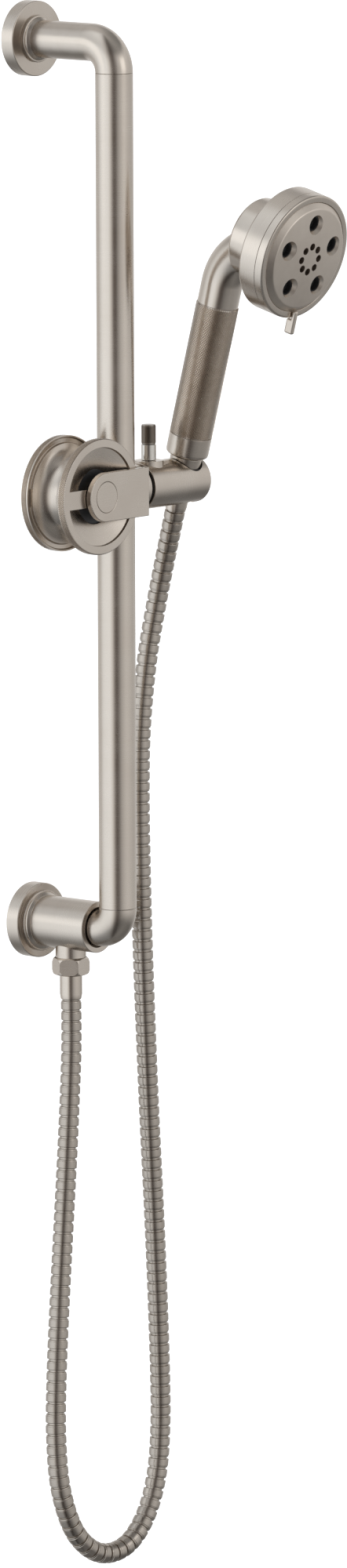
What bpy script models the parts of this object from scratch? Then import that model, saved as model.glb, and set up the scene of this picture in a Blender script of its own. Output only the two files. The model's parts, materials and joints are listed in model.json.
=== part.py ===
"""Wall-mounted slide-bar hand shower: bar, pulley-wheel carriage, barrel holder, handset and hose.

Frame: the wall is the plane y = 0 and the object stands out along -Y, +X is to the right of someone
facing the wall, +Z is up. The origin is the middle of the upper wall bracket's back face.
"""
import math

import bmesh
import bpy
from mathutils import Matrix, Vector

# Driving dimensions, in metres and degrees
FIXING_SPACING = 0.6012     # upper arm axis to lower arm axis
BAR_OFFSET = 0.078          # wall to bar axis
BAR_RADIUS = 0.0127         # one-inch tube
TUBE_WALL = 0.0016
TOP_BEND = 0.0205           # centreline radius of the upper elbow
BOTTOM_BEND = 0.0152        # centreline radius of the lower elbow
GAP = 0.0003                # clearance kept between touching pieces
FLANGE_RADIUS = 0.0255
FLANGE_DEPTH = 0.010
SLEEVE_RADIUS = 0.0175      # outlet body over the lower arm
SLEEVE_END = 0.0606         # wall to the end of the outlet body
OUTLET_Y = -0.0357          # hose outlet under the outlet body
CARRIAGE_Z = -0.3009        # holder axis height at rest
WHEEL_X = -0.0368           # wheel axle from the bar axis
WHEEL_RADIUS = 0.0392
WHEEL_HALF = 0.0191         # half of the wheel's thickness
YOKE_FACE = 0.0238          # bar axis to a yoke plate's outer face
YOKE_THICK = 0.0041
YOKE_HALF_HEIGHT = 0.0165
YOKE_END_X = 0.0066
BARREL_RADIUS = 0.0159
BARREL_START = 0.0226
BARREL_END = 0.0812
SOCKET_X = 0.0680           # handset axis from the bar axis, along the barrel
HANDSET_TILT = 15.0         # degrees that the handle leans away from the wall
GRIP_RADIUS = 0.0145
HEAD_HEIGHT = 0.1814        # barrel axis to head axis, along the handle
HEAD_RADIUS = 0.0433
HEAD_FRONT = 0.0642         # handle axis to the rim of the spray face
HOSE_DIAMETER = 0.014
HOSE_START_Z = -0.6552      # first ring of the hose, under the outlet
HOSE_TOP = 0.0215           # barrel axis to the hose's other end, down along the handle

FINE, MEDIUM, COARSE = 28, 20, 12    # sides of large, middling and small round pieces
CLOCK = Matrix.Rotation(math.radians(7), 4, "Z")    # keeps a cutter's corners off its target's edges

for old in list(bpy.data.objects):
    bpy.data.objects.remove(old, do_unlink=True)


def finish(name, color, roughness, metallic):
    """A plain Principled material in the piece's own colour."""
    material = bpy.data.materials.new(name)
    material.use_nodes = True
    shader = material.node_tree.nodes["Principled BSDF"]
    shader.inputs["Base Color"].default_value = (*color, 1.0)
    shader.inputs["Roughness"].default_value = roughness
    shader.inputs["Metallic"].default_value = metallic
    return material


NICKEL = ((0.62, 0.57, 0.50), 0.32, 1.0)
POLISHED = ((0.70, 0.67, 0.62), 0.10, 1.0)
STEEL = ((0.50, 0.50, 0.50), 0.35, 1.0)
BRASS = ((0.72, 0.55, 0.28), 0.35, 1.0)
RUBBER = ((0.02, 0.02, 0.02), 0.6, 0.0)
WHITE_PLASTIC = ((0.85, 0.85, 0.82), 0.5, 0.0)
BLACK_PLASTIC = ((0.04, 0.04, 0.04), 0.5, 0.0)


def aim(point, direction):
    """A frame at point whose +Z runs along direction."""
    turn = Vector(direction).to_track_quat("Z", "Y").to_matrix().to_4x4()
    return Matrix.Translation(Vector(point)) @ turn


def add_object(name, mesh_data, look, place):
    """Link a bmesh as an object with its own material, smooth but for its sharp edges."""
    bmesh.ops.recalc_face_normals(mesh_data, faces=mesh_data.faces)
    mesh = bpy.data.meshes.new(name)
    mesh_data.to_mesh(mesh)
    mesh_data.free()
    mesh.shade_smooth()
    mesh.set_sharp_from_angle(angle=math.radians(35))
    mesh.materials.append(finish(name + "_finish", *look))
    item = bpy.data.objects.new(name, mesh)
    bpy.context.scene.collection.objects.link(item)
    item.matrix_world = place
    return item


def turned(name, outline, look, place, sides=MEDIUM):
    """Turn (radius, height) points about +Z: a solid if the outline ends on the axis, else a ring."""
    shape = bmesh.new()
    rings = []
    for radius, height in outline:
        if radius == 0:
            rings.append([shape.verts.new((0, 0, height))])
            continue
        rings.append([shape.verts.new((radius * math.cos(math.tau * step / sides),
                                       radius * math.sin(math.tau * step / sides), height))
                      for step in range(sides)])
    pairs = list(zip(rings, rings[1:]))
    if outline[0][0] != 0:
        pairs.append((rings[-1], rings[0]))
    for lower, upper in pairs:
        if len(lower) == len(upper) == 1:
            continue
        for step in range(sides):
            after = (step + 1) % sides
            corners = [lower[step % len(lower)], lower[after % len(lower)],
                       upper[after % len(upper)], upper[step % len(upper)]]
            shape.faces.new(list(dict.fromkeys(corners)))
    return add_object(name, shape, look, place)


def rod(name, radius, start, end, look, place, sides=COARSE):
    """A plain round solid between two heights."""
    return turned(name, [(0, start), (radius, start), (radius, end), (0, end)], look, place, sides)


def ring(name, inner, outer, start, end, look, place, sides=COARSE):
    """A plain tube or washer between two heights."""
    return turned(name, [(inner, start), (outer, start), (outer, end), (inner, end)], look, place, sides)


def seal(name, radius, thickness, look, place, sides=COARSE, around=6):
    """An O-ring lying in the local XY plane."""
    outline = [(radius + thickness / 2 * math.cos(math.tau * step / around),
                thickness / 2 * math.sin(math.tau * step / around)) for step in range(around)]
    return turned(name, outline, look, place, sides)


def extruded(name, outline, depth, look, place):
    """Extrude an XY outline along +Z."""
    shape = bmesh.new()
    base = shape.faces.new([shape.verts.new((x, y, 0)) for x, y in outline])
    grown = bmesh.ops.extrude_face_region(shape, geom=[base])
    raised = [part for part in grown["geom"] if isinstance(part, bmesh.types.BMVert)]
    bmesh.ops.translate(shape, verts=raised, vec=(0, 0, depth))
    return add_object(name, shape, look, place)


def swept(name, route, frames, rim_radii, look, place=Matrix(), sides=MEDIUM):
    """Sweep a circle, or a tube of (outer, inner) radii, along route with a frame at each point."""
    shape = bmesh.new()
    skins = []
    for radius in rim_radii:
        skins.append([[shape.verts.new(point + radius * (math.cos(math.tau * step / sides) * side +
                                                         math.sin(math.tau * step / sides) * rise))
                       for step in range(sides)] for point, (side, rise) in zip(route, frames)])
    for skin in skins:
        for here, there in zip(skin, skin[1:]):
            for step in range(sides):
                after = (step + 1) % sides
                shape.faces.new([here[step], here[after], there[after], there[step]])
    for end in (0, -1):
        if len(skins) == 1:
            shape.faces.new(skins[0][end])
            continue
        for step in range(sides):
            after = (step + 1) % sides
            shape.faces.new([skins[0][end][step], skins[0][end][after],
                             skins[1][end][after], skins[1][end][step]])
    return add_object(name, shape, look, place)


def cut(item, cutter, operation="DIFFERENCE"):
    """Cut item by cutter, or join it on, and drop the cutter."""
    step = item.modifiers.new(operation.lower(), "BOOLEAN")
    step.operation = operation
    step.object = cutter
    bpy.context.view_layer.update()
    result = bpy.data.meshes.new_from_object(item.evaluated_get(bpy.context.evaluated_depsgraph_get()))
    item.modifiers.clear()
    item.data = result
    bpy.data.objects.remove(cutter, do_unlink=True)
    return item


def hang(items, parent):
    """Parent items to an empty on their joint's axis, keeping where they are."""
    for item in items:
        world = item.matrix_world.copy()
        item.parent = parent
        item.matrix_parent_inverse = parent.matrix_world.inverted()
        item.matrix_world = world


def pivot(name, point, direction):
    """An empty on a joint's axis."""
    empty = bpy.data.objects.new(name, None)
    bpy.context.scene.collection.objects.link(empty)
    empty.matrix_world = aim(point, direction)
    bpy.context.view_layer.update()
    return empty


def elbow_route(bend, level, down, start):
    """Centreline of an arm: out from the wall, round its bend, and onto the bar axis."""
    points = [Vector((0, -start, level))]
    frames = [(Vector((1, 0, 0)), Vector((0, 0, 1)))]
    steps = 6
    for step in range(steps + 1):
        angle = math.radians(90) * step / steps
        points.append(Vector((0, -(BAR_OFFSET - bend) - bend * math.sin(angle),
                              level + down * bend * (1 - math.cos(angle)))))
        frames.append((Vector((1, 0, 0)), Vector((0, down * math.sin(angle), math.cos(angle)))))
    return points, frames


# ---------------------------------------------------------------- wall fixings, arms and bar

def wall_bracket(label, level, bore):
    """A bracket disc on the wall with a stub inside the arm, and its two countersunk screws."""
    place = aim((0, 0, level), (0, -1, 0))
    outline = [(0, 0), (0.0205, 0), (0.0205, 0.0035), (0.0095, 0.0035), (0.0095, 0.030), (0, 0.030)]
    if bore:
        outline = [(0.0095, 0), (0.0205, 0), (0.0205, 0.0035), (0.0095, 0.0035)]
    bracket = turned("wall_bracket_" + label, outline, STEEL, place)
    for side, word in ((-1, "left"), (1, "right")):
        spot = aim((side * 0.0148, 0, level), (0, -1, 0))
        cut(bracket, turned("hole", [(0, -0.001), (0.0022, -0.001), (0.0022, 0.0012),
                                     (0.0043, 0.0042), (0, 0.0042)], STEEL, spot, 12))
        turned("wall_screw_" + label + "_" + word,
               [(0, 0.0001), (0.0018, 0.0001), (0.0018, 0.0014), (0.0036, 0.0034), (0, 0.0034)],
               STEEL, spot, 12)


def flange(label, level, bore):
    """The round cover over a wall bracket, hollow behind, with a grub screw under its rim."""
    place = aim((0, 0, level), (0, -1, 0))
    edge = 0.0007
    outline = [(bore, 0.0066), (0.0222, 0.0066), (0.0222, 0), (FLANGE_RADIUS, 0),
               (FLANGE_RADIUS, FLANGE_DEPTH - edge), (FLANGE_RADIUS - edge, FLANGE_DEPTH),
               (bore, FLANGE_DEPTH)]
    cover = turned("flange_" + label, outline, NICKEL, place, FINE)
    below = aim((0, -0.0033, level - 0.0205), (0, 0, -1))
    cut(cover, rod("hole", 0.0018, 0, 0.01, STEEL, below, 12))
    rod("set_screw_" + label, 0.0014, 0.0015, 0.0045, STEEL, below, 10)


def base_collar(label, level, tube, outer, inner):
    """Two thin steps round the arm where it leaves its flange."""
    place = aim((0, -FLANGE_DEPTH - GAP, level), (0, -1, 0))
    bore = tube + GAP
    outline = [(bore, 0), (outer, 0), (outer, 0.0014), (outer - 0.0006, 0.0020), (inner, 0.0020),
               (inner, 0.0032), (inner - 0.0008, 0.0040), (bore, 0.0040)]
    turned("base_collar_" + label, outline, NICKEL, place, FINE)


def arms_and_bar():
    """The two bent arms, the straight bar between them, and the spigots inside its two joints."""
    bore = BAR_RADIUS - TUBE_WALL
    route, frames = elbow_route(TOP_BEND, 0.0, -1, 0.0078)
    swept("arm_top", route, frames, (BAR_RADIUS, bore), NICKEL, sides=FINE)
    route, frames = elbow_route(BOTTOM_BEND, -FIXING_SPACING, 1, SLEEVE_END - 0.0068)
    swept("arm_bottom", route, frames, (BAR_RADIUS, bore), NICKEL, sides=FINE)
    top = -TOP_BEND - GAP
    bottom = -FIXING_SPACING + BOTTOM_BEND + GAP
    axis = aim((0, -BAR_OFFSET, 0), (0, 0, 1))
    ring("slide_bar", bore, BAR_RADIUS, bottom, top, NICKEL, axis, FINE)
    for word, level in (("top", top), ("bottom", bottom)):
        reach = 0.011 if word == "top" else 0.012
        low, high = (level - reach, level + 0.001) if word == "top" else (level - 0.001, level + reach)
        ring("bar_spigot_" + word, 0.0065, bore - GAP, low, high, STEEL, axis, 20)


def outlet():
    """The water outlet over the lower arm: body, check valve, filter, and the side nipple."""
    axis = aim((0, 0, -FIXING_SPACING), (0, -1, 0))
    body = turned("outlet_body", [(0.0072, 0.0), (0.0090, 0.0), (0.0090, 0.0146),
                                  (SLEEVE_RADIUS, 0.0146), (SLEEVE_RADIUS, SLEEVE_END - 0.0004),
                                  (SLEEVE_RADIUS - 0.0004, SLEEVE_END), (0.0144, SLEEVE_END),
                                  (0.0144, SLEEVE_END - 0.0090), (0.0072, SLEEVE_END - 0.0090)],
                  NICKEL, axis, FINE)
    down = aim((0, OUTLET_Y, -FIXING_SPACING), (0, 0, -1))
    cut(body, rod("port", 0.0104, 0.0125, 0.0305, NICKEL, down, MEDIUM), "UNION")
    cut(body, rod("drill", 0.0055, 0.0, 0.04, NICKEL, down, COARSE))
    ring("check_valve", 0.0028, 0.0066, 0.004, 0.018, WHITE_PLASTIC, axis)
    ring("inlet_filter", 0.0022, 0.0066, 0.0005, 0.0035, STEEL, axis)
    rod("bore_plug", 0.0069, SLEEVE_END - 0.0145, SLEEVE_END - 0.0095, BRASS, axis)
    return down


def hose_end(down):
    """What joins the hose to the outlet: washer, hexagonal nut and crimped ferrule."""
    drop = -HOSE_START_Z - FIXING_SPACING
    washer_top = 0.0305 + GAP
    ring("hose_washer_lower", 0.0050, 0.0096, washer_top, washer_top + 0.0018, RUBBER, down)
    flange_top = washer_top + 0.0018 + GAP
    low = 0.0368
    ferrule = [(0.0045, flange_top), (0.0094, flange_top), (0.0094, flange_top + 0.0014),
               (0.0060, flange_top + 0.0014), (0.0060, low + GAP), (0.0076, low + GAP),
               (0.0076, drop - 0.0040), (0.0069, drop - GAP), (0.0045, drop - GAP)]
    turned("hose_ferrule_lower", ferrule, NICKEL, down, 24)
    top = 0.0243
    hexagon = [(0.0138 * math.cos(math.radians(60 * side + 52)),
                0.0138 * math.sin(math.radians(60 * side + 52))) for side in range(6)]
    place = down @ Matrix.Translation((0, 0, top))
    nut = extruded("hose_nut_lower", hexagon, low - top, NICKEL, place)
    crown = [(0, -0.0001), (0.0108, -0.0001), (0.0127, 0.0012), (0.0136, 0.0035), (0.0136, 0.0095),
             (0.0127, 0.0117), (0.0105, low - top + 0.0001), (0, low - top + 0.0001)]
    cut(nut, turned("crown", crown, NICKEL, place, 24), "INTERSECT")
    bore = [(0, -0.001), (0.01075, -0.001), (0.01075, low - top - 0.0018),
            (0.0064, low - top - 0.0018), (0.0064, 0.02), (0, 0.02)]
    cut(nut, turned("bore", bore, NICKEL, place, 24))


# ---------------------------------------------------------------- carriage and its pulley wheel

def carriage_place():
    return Matrix.Translation((0, -BAR_OFFSET, CARRIAGE_Z))


def yoke_plate(word, side):
    """One cheek of the yoke: round about the axle, square at the bar, bored for the axle head."""
    steps = 12
    outline = [(YOKE_HALF_HEIGHT * math.cos(math.radians(90 + 180 * step / steps)) + WHEEL_X,
                YOKE_HALF_HEIGHT * math.sin(math.radians(90 + 180 * step / steps)))
               for step in range(steps + 1)]
    corner = 0.0012
    outline += [(YOKE_END_X - corner, -YOKE_HALF_HEIGHT), (YOKE_END_X, -YOKE_HALF_HEIGHT + corner),
                (YOKE_END_X, YOKE_HALF_HEIGHT - corner), (YOKE_END_X - corner, YOKE_HALF_HEIGHT)]
    inner = YOKE_FACE - YOKE_THICK
    turn = Matrix.Rotation(math.radians(90), 4, "X")
    base = carriage_place() @ Matrix.Translation((0, -inner if side < 0 else YOKE_FACE, 0)) @ turn
    plate = extruded("yoke_plate_" + word, outline, YOKE_THICK, NICKEL, base)
    hole = base @ Matrix.Translation((WHEEL_X, 0, 0))
    cut(plate, rod("hole", 0.01055, -0.001, YOKE_THICK + 0.001, NICKEL, hole, MEDIUM))
    return plate


def slider():
    """The casting that rides the bar: half collar, lugs for the plates, boss and holder spigot."""
    place = carriage_place()
    half = 0.0172
    start = 0.0030
    steps = 12
    reach = 0.0180
    limit = math.acos(start / reach)
    arc = [(reach * math.cos(-limit + 2 * limit * step / steps),
            reach * math.sin(-limit + 2 * limit * step / steps)) for step in range(steps + 1)]
    body = extruded("slider_body", arc, 2 * half, NICKEL, place @ Matrix.Translation((0, 0, -half)))
    lug = [(0.0034, -0.0194), (0.0102, -0.0194), (0.0102, 0.0194), (0.0034, 0.0194)]
    cut(body, extruded("lugs", lug, 0.030, NICKEL, place @ Matrix.Translation((0, 0, -0.015))), "UNION")
    along = place @ aim((0, 0, 0), (1, 0, 0))
    boss = [(0, 0.004), (0.0154, 0.004), (0.0154, 0.0193), (0.0146, 0.0202), (0.0112, 0.0202),
            (0.0112, BARREL_START + 0.0024), (0.0078, BARREL_START + 0.0024), (0.0078, 0.0470),
            (0, 0.0470)]
    cut(body, turned("boss", boss, NICKEL, along, MEDIUM), "UNION")
    cut(body, rod("bore", 0.0158, -0.03, 0.03, NICKEL, place, FINE))
    return body


def guide_bush():
    """The dark plastic half liner that slides on the bar, inside the slider."""
    steps = 12
    start = 0.0036
    outer, inner = 0.0155, BAR_RADIUS + GAP
    wide = math.acos(start / outer)
    narrow = math.acos(start / inner)
    outline = [(outer * math.cos(-wide + 2 * wide * step / steps),
                outer * math.sin(-wide + 2 * wide * step / steps)) for step in range(steps + 1)]
    outline += [(inner * math.cos(narrow - 2 * narrow * step / steps),
                 inner * math.sin(narrow - 2 * narrow * step / steps)) for step in range(steps + 1)]
    place = carriage_place() @ Matrix.Translation((0, 0, -0.0165))
    return extruded("guide_bush", outline, 0.033, BLACK_PLASTIC, place)


def axle():
    """The wheel's axle with its two flush heads, one of them a screwed cap, and its bushes."""
    place = carriage_place() @ aim((WHEEL_X, 0, 0), (0, -1, 0))
    inner = YOKE_FACE - YOKE_THICK
    head, shaft = 0.01025, 0.0050
    pin = turned("axle_pin", [(0, -inner + GAP), (shaft, -inner + GAP), (shaft, inner),
                              (head, inner), (head, YOKE_FACE), (0, YOKE_FACE)], NICKEL, place)
    cap = turned("axle_cap", [(0, -YOKE_FACE), (head, -YOKE_FACE), (head, -inner), (0, -inner)],
                 NICKEL, place)
    bushes = []
    for word, side in (("front", 1), ("rear", -1)):
        near, far = 0.006, 0.0170
        low, high = (near, far) if side > 0 else (-far, -near)
        bushes.append(ring("axle_bush_" + word, shaft + GAP, 0.0068, low, high, BLACK_PLASTIC, place))
    return [pin, cap, *bushes]


def wheel():
    """The pulley wheel: two rims either side of the bar, a waist that rolls on it, and a spoked hub."""
    place = carriage_place() @ aim((WHEEL_X, 0, 0), (0, -1, 0))
    waist = -WHEEL_X - BAR_RADIUS - GAP
    bevel = 0.0008
    rear = [(0.0186, -0.0150), (0.0332, -0.0159), (0.0333, -WHEEL_HALF),
            (WHEEL_RADIUS - bevel, -WHEEL_HALF), (WHEEL_RADIUS, -WHEEL_HALF + bevel),
            (WHEEL_RADIUS, -0.0142), (0.0382, -0.0134), (0.0335, -0.0132), (0.0290, -0.0112),
            (0.0258, -0.0092), (waist, -0.0050)]
    outline = rear + [(radius, -height) for radius, height in reversed(rear)]
    body = turned("pulley_wheel", outline, NICKEL, place, 32)
    hub = turned("hub", [(0.0071, -0.0168), (0.0100, -0.0168), (0.0100, 0.0168), (0.0071, 0.0168)],
                 NICKEL, place, MEDIUM)
    half = 0.00615
    for side in (-1, 1):
        for face in (-1, 1):
            for near, far, low, high in ((0.0090, 0.0196, 0.0080, 0.0190),
                                         (0.0190, 0.0350, 0.0145, 0.0190)):
                bar = [(side * near, -half), (side * far, -half), (side * far, half), (side * near, half)]
                base = min(face * low, face * high)
                spoke = extruded("spoke", bar, high - low, NICKEL, place @ Matrix.Translation((0, 0, base)))
                cut(body, spoke, "UNION")
    cut(body, hub, "UNION")
    return body


# ---------------------------------------------------------------- barrel holder and its lock

def handset_place():
    """The handset's frame: +Z up the handle, -Y the way it sprays, origin on the barrel's axis."""
    return (Matrix.Translation((SOCKET_X, -BAR_OFFSET, CARRIAGE_Z)) @
            Matrix.Rotation(math.radians(HANDSET_TILT), 4, "X"))


def holder():
    """The barrel on the slider's spigot, with the handset's tapered socket and the lock's boss."""
    along = carriage_place() @ aim((0, 0, 0), (1, 0, 0))
    edge = 0.0012
    body = turned("holder_barrel", [(0, BARREL_START), (BARREL_RADIUS - 0.0004, BARREL_START),
                                    (BARREL_RADIUS, BARREL_START + 0.0004),
                                    (BARREL_RADIUS, BARREL_END - edge),
                                    (BARREL_RADIUS - edge, BARREL_END), (0, BARREL_END)],
                  NICKEL, along, FINE)
    lock = lock_place()
    cut(body, rod("land", 0.0101, 0.006, 0.0168, NICKEL, lock, MEDIUM), "UNION")
    cut(body, turned("chamber", [(0, 0.02), (0.0118, 0.02), (0.0118, BARREL_START + 0.0027),
                                 (0.0081, BARREL_START + 0.0027), (0.0081, 0.0535), (0, 0.0535)],
                     NICKEL, along, MEDIUM))
    socket = [(0, -0.03), (0.0106, -0.03), (0.0124, 0.03), (0, 0.03)]
    cut(body, turned("socket", socket, NICKEL, handset_place(), MEDIUM))
    cut(body, rod("lock_bore", 0.0024, 0.0, 0.03, NICKEL, lock, COARSE))
    liner = turned("socket_liner", [(0.0096, -0.0118), (0.0104, -0.0118), (0.01165, 0.0112),
                                    (0.01095, 0.0112)], BLACK_PLASTIC, handset_place(), MEDIUM)
    washer = ring("friction_washer", 0.0036, 0.0075, 0.0473, 0.0483, WHITE_PLASTIC, along)
    screw = turned("pivot_screw", [(0, 0.0486), (0.0070, 0.0486), (0.0070, 0.0512), (0, 0.0512)],
                   STEEL, along)
    ring_seal = seal("barrel_seal", 0.0130, 0.0018, RUBBER,
                     carriage_place() @ aim((BARREL_START - 0.0012, 0, 0), (1, 0, 0)), 24)
    return [body, liner, washer, screw, ring_seal]


def lock_place():
    """The lock's frame: +Z up out of the barrel."""
    return Matrix.Translation((0.0340, -BAR_OFFSET, CARRIAGE_Z))


def lock():
    """The pull knob that frees the barrel: polished guide, steel plunger, spring and knurled cap."""
    place = lock_place()
    guide = ring("lock_guide", 0.0042, 0.0050, 0.0171, 0.0276, POLISHED, place, 24)
    plunger = turned("lock_plunger", [(0, 0.0088), (0.0021, 0.0088), (0.0021, 0.0170), (0.0038, 0.0171),
                                      (0.0038, 0.0182), (0.0016, 0.0182), (0.0016, 0.0300),
                                      (0, 0.0300)], STEEL, place)
    cap = turned("lock_cap", [(0.0019, 0.0279), (0.0049, 0.0279), (0.0049, 0.0407), (0.0047, 0.0411),
                              (0, 0.0411), (0, 0.0303), (0.0019, 0.0303)], NICKEL, place, 24)
    return [guide], [plunger, cap]


# ---------------------------------------------------------------- handset

def inlet_end():
    """The hose's conical nut that sits in the socket, its washer, and the ferrule below it."""
    place = handset_place()
    cone = turned("cone_nut", [(0.0078, -0.0130), (0.0093, -0.0130), (0.0109, 0.0180),
                               (0.0078, 0.0180)], NICKEL, place)
    washer = ring("hose_washer_upper", 0.0044, 0.0074, 0.0060, 0.0080, RUBBER, place)
    ferrule = turned("hose_ferrule_upper",
                     [(0.0045, -HOSE_TOP + GAP), (0.0069, -HOSE_TOP + GAP), (0.0074, -0.0180),
                      (0.0074, 0.0040), (0.0070, 0.0057), (0.0045, 0.0057)], NICKEL, place, 24)
    return [cone, washer, ferrule]


def handle():
    """Collar, knurled grip and neck casting of the handset, with the parts inside them."""
    place = handset_place()
    collar = turned("grip_collar", [(0.0112, 0.0187), (0.0130, 0.0187), (0.0142, 0.0197),
                                    (GRIP_RADIUS, 0.0215), (GRIP_RADIUS, 0.0332), (0.0112, 0.0332)],
                    NICKEL, place, MEDIUM)
    inlet = turned("inlet_nipple", [(0.0046, 0.0083), (0.0074, 0.0083), (0.0074, 0.0200),
                                    (0.0109, 0.0200), (0.0109, 0.0400), (0.0046, 0.0400)],
                   BRASS, place, 24)
    regulator = rod("flow_regulator", 0.0043, 0.0180, 0.0230, WHITE_PLASTIC, place)
    grip = turned("knurled_grip", [(0.0112, 0.0335), (GRIP_RADIUS, 0.0335), (GRIP_RADIUS, 0.1262),
                                   (0.0112, 0.1262)], NICKEL, place, FINE)
    tube = ring("water_tube", 0.0062, 0.0082, 0.0405, 0.1500, WHITE_PLASTIC, place)
    top_seal = seal("tube_seal", 0.0098, 0.0020, RUBBER, place @ Matrix.Translation((0, 0, 0.1350)))
    return [collar, inlet, regulator, grip, tube, top_seal]


def neck():
    """The neck that bends forward into the round hub behind the spray head, bored for the water."""
    place = handset_place()
    bend = 0.036
    radius = 0.0140
    hub_back, hub_front = 0.0195, 0.0434
    start = Vector((0, 0, 0.1265))
    points = [start]
    frames = [(Vector((1, 0, 0)), Vector((0, 1, 0)))]
    steps = 6
    turn_end = math.radians(62)
    for step in range(steps + 1):
        angle = turn_end * step / steps
        points.append(Vector((0, -bend + bend * math.cos(angle), HEAD_HEIGHT - 0.004 - bend +
                              bend * math.sin(angle))))
        frames.append((Vector((1, 0, 0)), Vector((0, math.cos(angle), math.sin(angle)))))
    ahead = Vector((0, -math.sin(turn_end), math.cos(turn_end)))
    points.append(points[-1] + ahead * 0.010)
    frames.append(frames[-1])
    casting = swept("neck_and_hub", points, frames, (radius,), NICKEL, place, MEDIUM)
    face = place @ aim((0, 0, HEAD_HEIGHT), (0, -1, 0))
    rounding = 0.0016
    hub = turned("hub", [(0, hub_back), (0.0275 - rounding, hub_back), (0.0275, hub_back + rounding),
                         (0.0275, hub_front - GAP), (0, hub_front - GAP)], NICKEL, face, FINE)
    cut(casting, hub, "UNION")
    cut(casting, rod("bore", 0.0112, 0.12, 0.158, NICKEL, place, MEDIUM))
    cut(casting, rod("chamber", 0.0240, hub_back + 0.0032, 0.05, NICKEL, face, MEDIUM))
    cut(casting, rod("passage", 0.0060, 0.0, 0.045, NICKEL,
                     place @ aim((0, 0, 0.148), (0, -0.62, 0.78)), COARSE))
    return casting, face


def head(face):
    """The spray head: shell, face ring, spray plate with its selector lever, and what lies behind."""
    back, seam, front = 0.0434, 0.0576, HEAD_FRONT
    rounding = 0.0015
    shell = turned("head_shell", [(0.0095, back), (HEAD_RADIUS - rounding, back),
                                  (HEAD_RADIUS, back + rounding), (HEAD_RADIUS, seam),
                                  (0.0400, seam), (0.0400, back + 0.0030), (0.0095, back + 0.0030)],
                   NICKEL, face, FINE)
    rim = turned("face_ring", [(0.0390, seam + GAP), (HEAD_RADIUS, seam + GAP),
                               (HEAD_RADIUS, front - 0.0006), (HEAD_RADIUS - 0.0006, front),
                               (0.0390, front)], NICKEL, face, FINE)
    manifold = ring("spray_manifold", 0.0060, 0.0386, back + 0.0034, back + 0.0090, WHITE_PLASTIC,
                    face, MEDIUM)
    spindle = turned("selector_spindle", [(0, 0.0360), (0.0056, 0.0360), (0.0056, back + 0.0094),
                                          (0.0086, back + 0.0094), (0.0086, back + 0.0112),
                                          (0, back + 0.0112)], BRASS, face)
    face_seal = seal("face_seal", 0.0340, 0.0022, RUBBER, face @ Matrix.Translation((0, 0, 0.0541)), 24)
    plate = spray_plate(face)
    nozzles = nozzle_mat(face)
    lever = selector_lever(face)
    return [shell, rim, manifold, face_seal], [plate, nozzles, lever, spindle]


def nozzle_spots():
    """Places of the five large jets and the eight small ones, as (radius, x, y) on the face."""
    large = [(0.0235 * math.cos(math.radians(90 + 72 * turn)),
              0.0235 * math.sin(math.radians(90 + 72 * turn))) for turn in range(5)]
    small = [(0.0088 * math.cos(math.radians(90 + 45 * turn)),
              0.0088 * math.sin(math.radians(90 + 45 * turn))) for turn in range(8)]
    return large, small


def spray_plate(face):
    """The domed plate with a sloped edge, five conical recesses and a ring of eight small holes."""
    rim, land, dome = 0.0382, 0.0362, 0.0055
    base = HEAD_FRONT - 0.0030
    rise = dome - 0.0027
    curve = [(land * part, HEAD_FRONT + dome - rise * part ** 2) for part in (1, 0.65)]
    outline = [(0, base), (rim, base), (rim, HEAD_FRONT + 0.0002), *curve, (0, HEAD_FRONT + dome)]
    plate = turned("spray_plate", outline, NICKEL, face, FINE)
    large, small = nozzle_spots()
    for x, y in large:
        recess = [(0, base - 0.001), (0.0040, base - 0.001), (0.0040, HEAD_FRONT + 0.0008),
                  (0.0072, HEAD_FRONT + 0.0060), (0, HEAD_FRONT + 0.0060)]
        cut(plate, turned("recess", recess, NICKEL, face @ Matrix.Translation((x, y, 0)) @ CLOCK, 14))
    for x, y in small:
        cut(plate, rod("hole", 0.0018, base - 0.001, HEAD_FRONT + 0.008, NICKEL,
                       face @ Matrix.Translation((x, y, 0)) @ CLOCK, 8))
    return plate


def nozzle_mat(face):
    """The dark rubber mat behind the plate, with a teat in each large recess."""
    back = HEAD_FRONT - 0.0066
    front = HEAD_FRONT - 0.0033
    mat = turned("nozzle_mat", [(0, back), (0.0370, back), (0.0370, front), (0, front)], RUBBER,
                 face, MEDIUM)
    large, _ = nozzle_spots()
    for x, y in large:
        teat = rod("teat", 0.0034, back + 0.001, HEAD_FRONT - 0.0005, RUBBER,
                   face @ Matrix.Translation((x, y, 0)) @ CLOCK, 8)
        cut(mat, teat, "UNION")
    return mat


def selector_lever(face):
    """The tab that turns the spray plate: a slim bar over the rim, past the rim it reaches back."""
    half = 0.0022
    tip, root, rim = 0.0541, 0.0385, HEAD_RADIUS + 0.0006
    front = HEAD_FRONT + 0.0040
    near, far = HEAD_FRONT + GAP, HEAD_FRONT - 0.0044
    outline = [(front, root), (front, tip - 0.001), (front - 0.001, tip), (far + 0.001, tip),
               (far, tip - 0.001), (far, rim), (near, rim), (near, root)]
    place = face @ Matrix(((0, 0, 1, -half), (0, -1, 0, 0), (1, 0, 0, 0), (0, 0, 0, 1)))
    lever = extruded("selector_lever", outline, 2 * half, NICKEL, place)
    soften = lever.modifiers.new("rounding", "BEVEL")
    soften.width = 0.0008
    soften.segments = 1
    soften.limit_method = "ANGLE"
    return lever


# ---------------------------------------------------------------- hose

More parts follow.
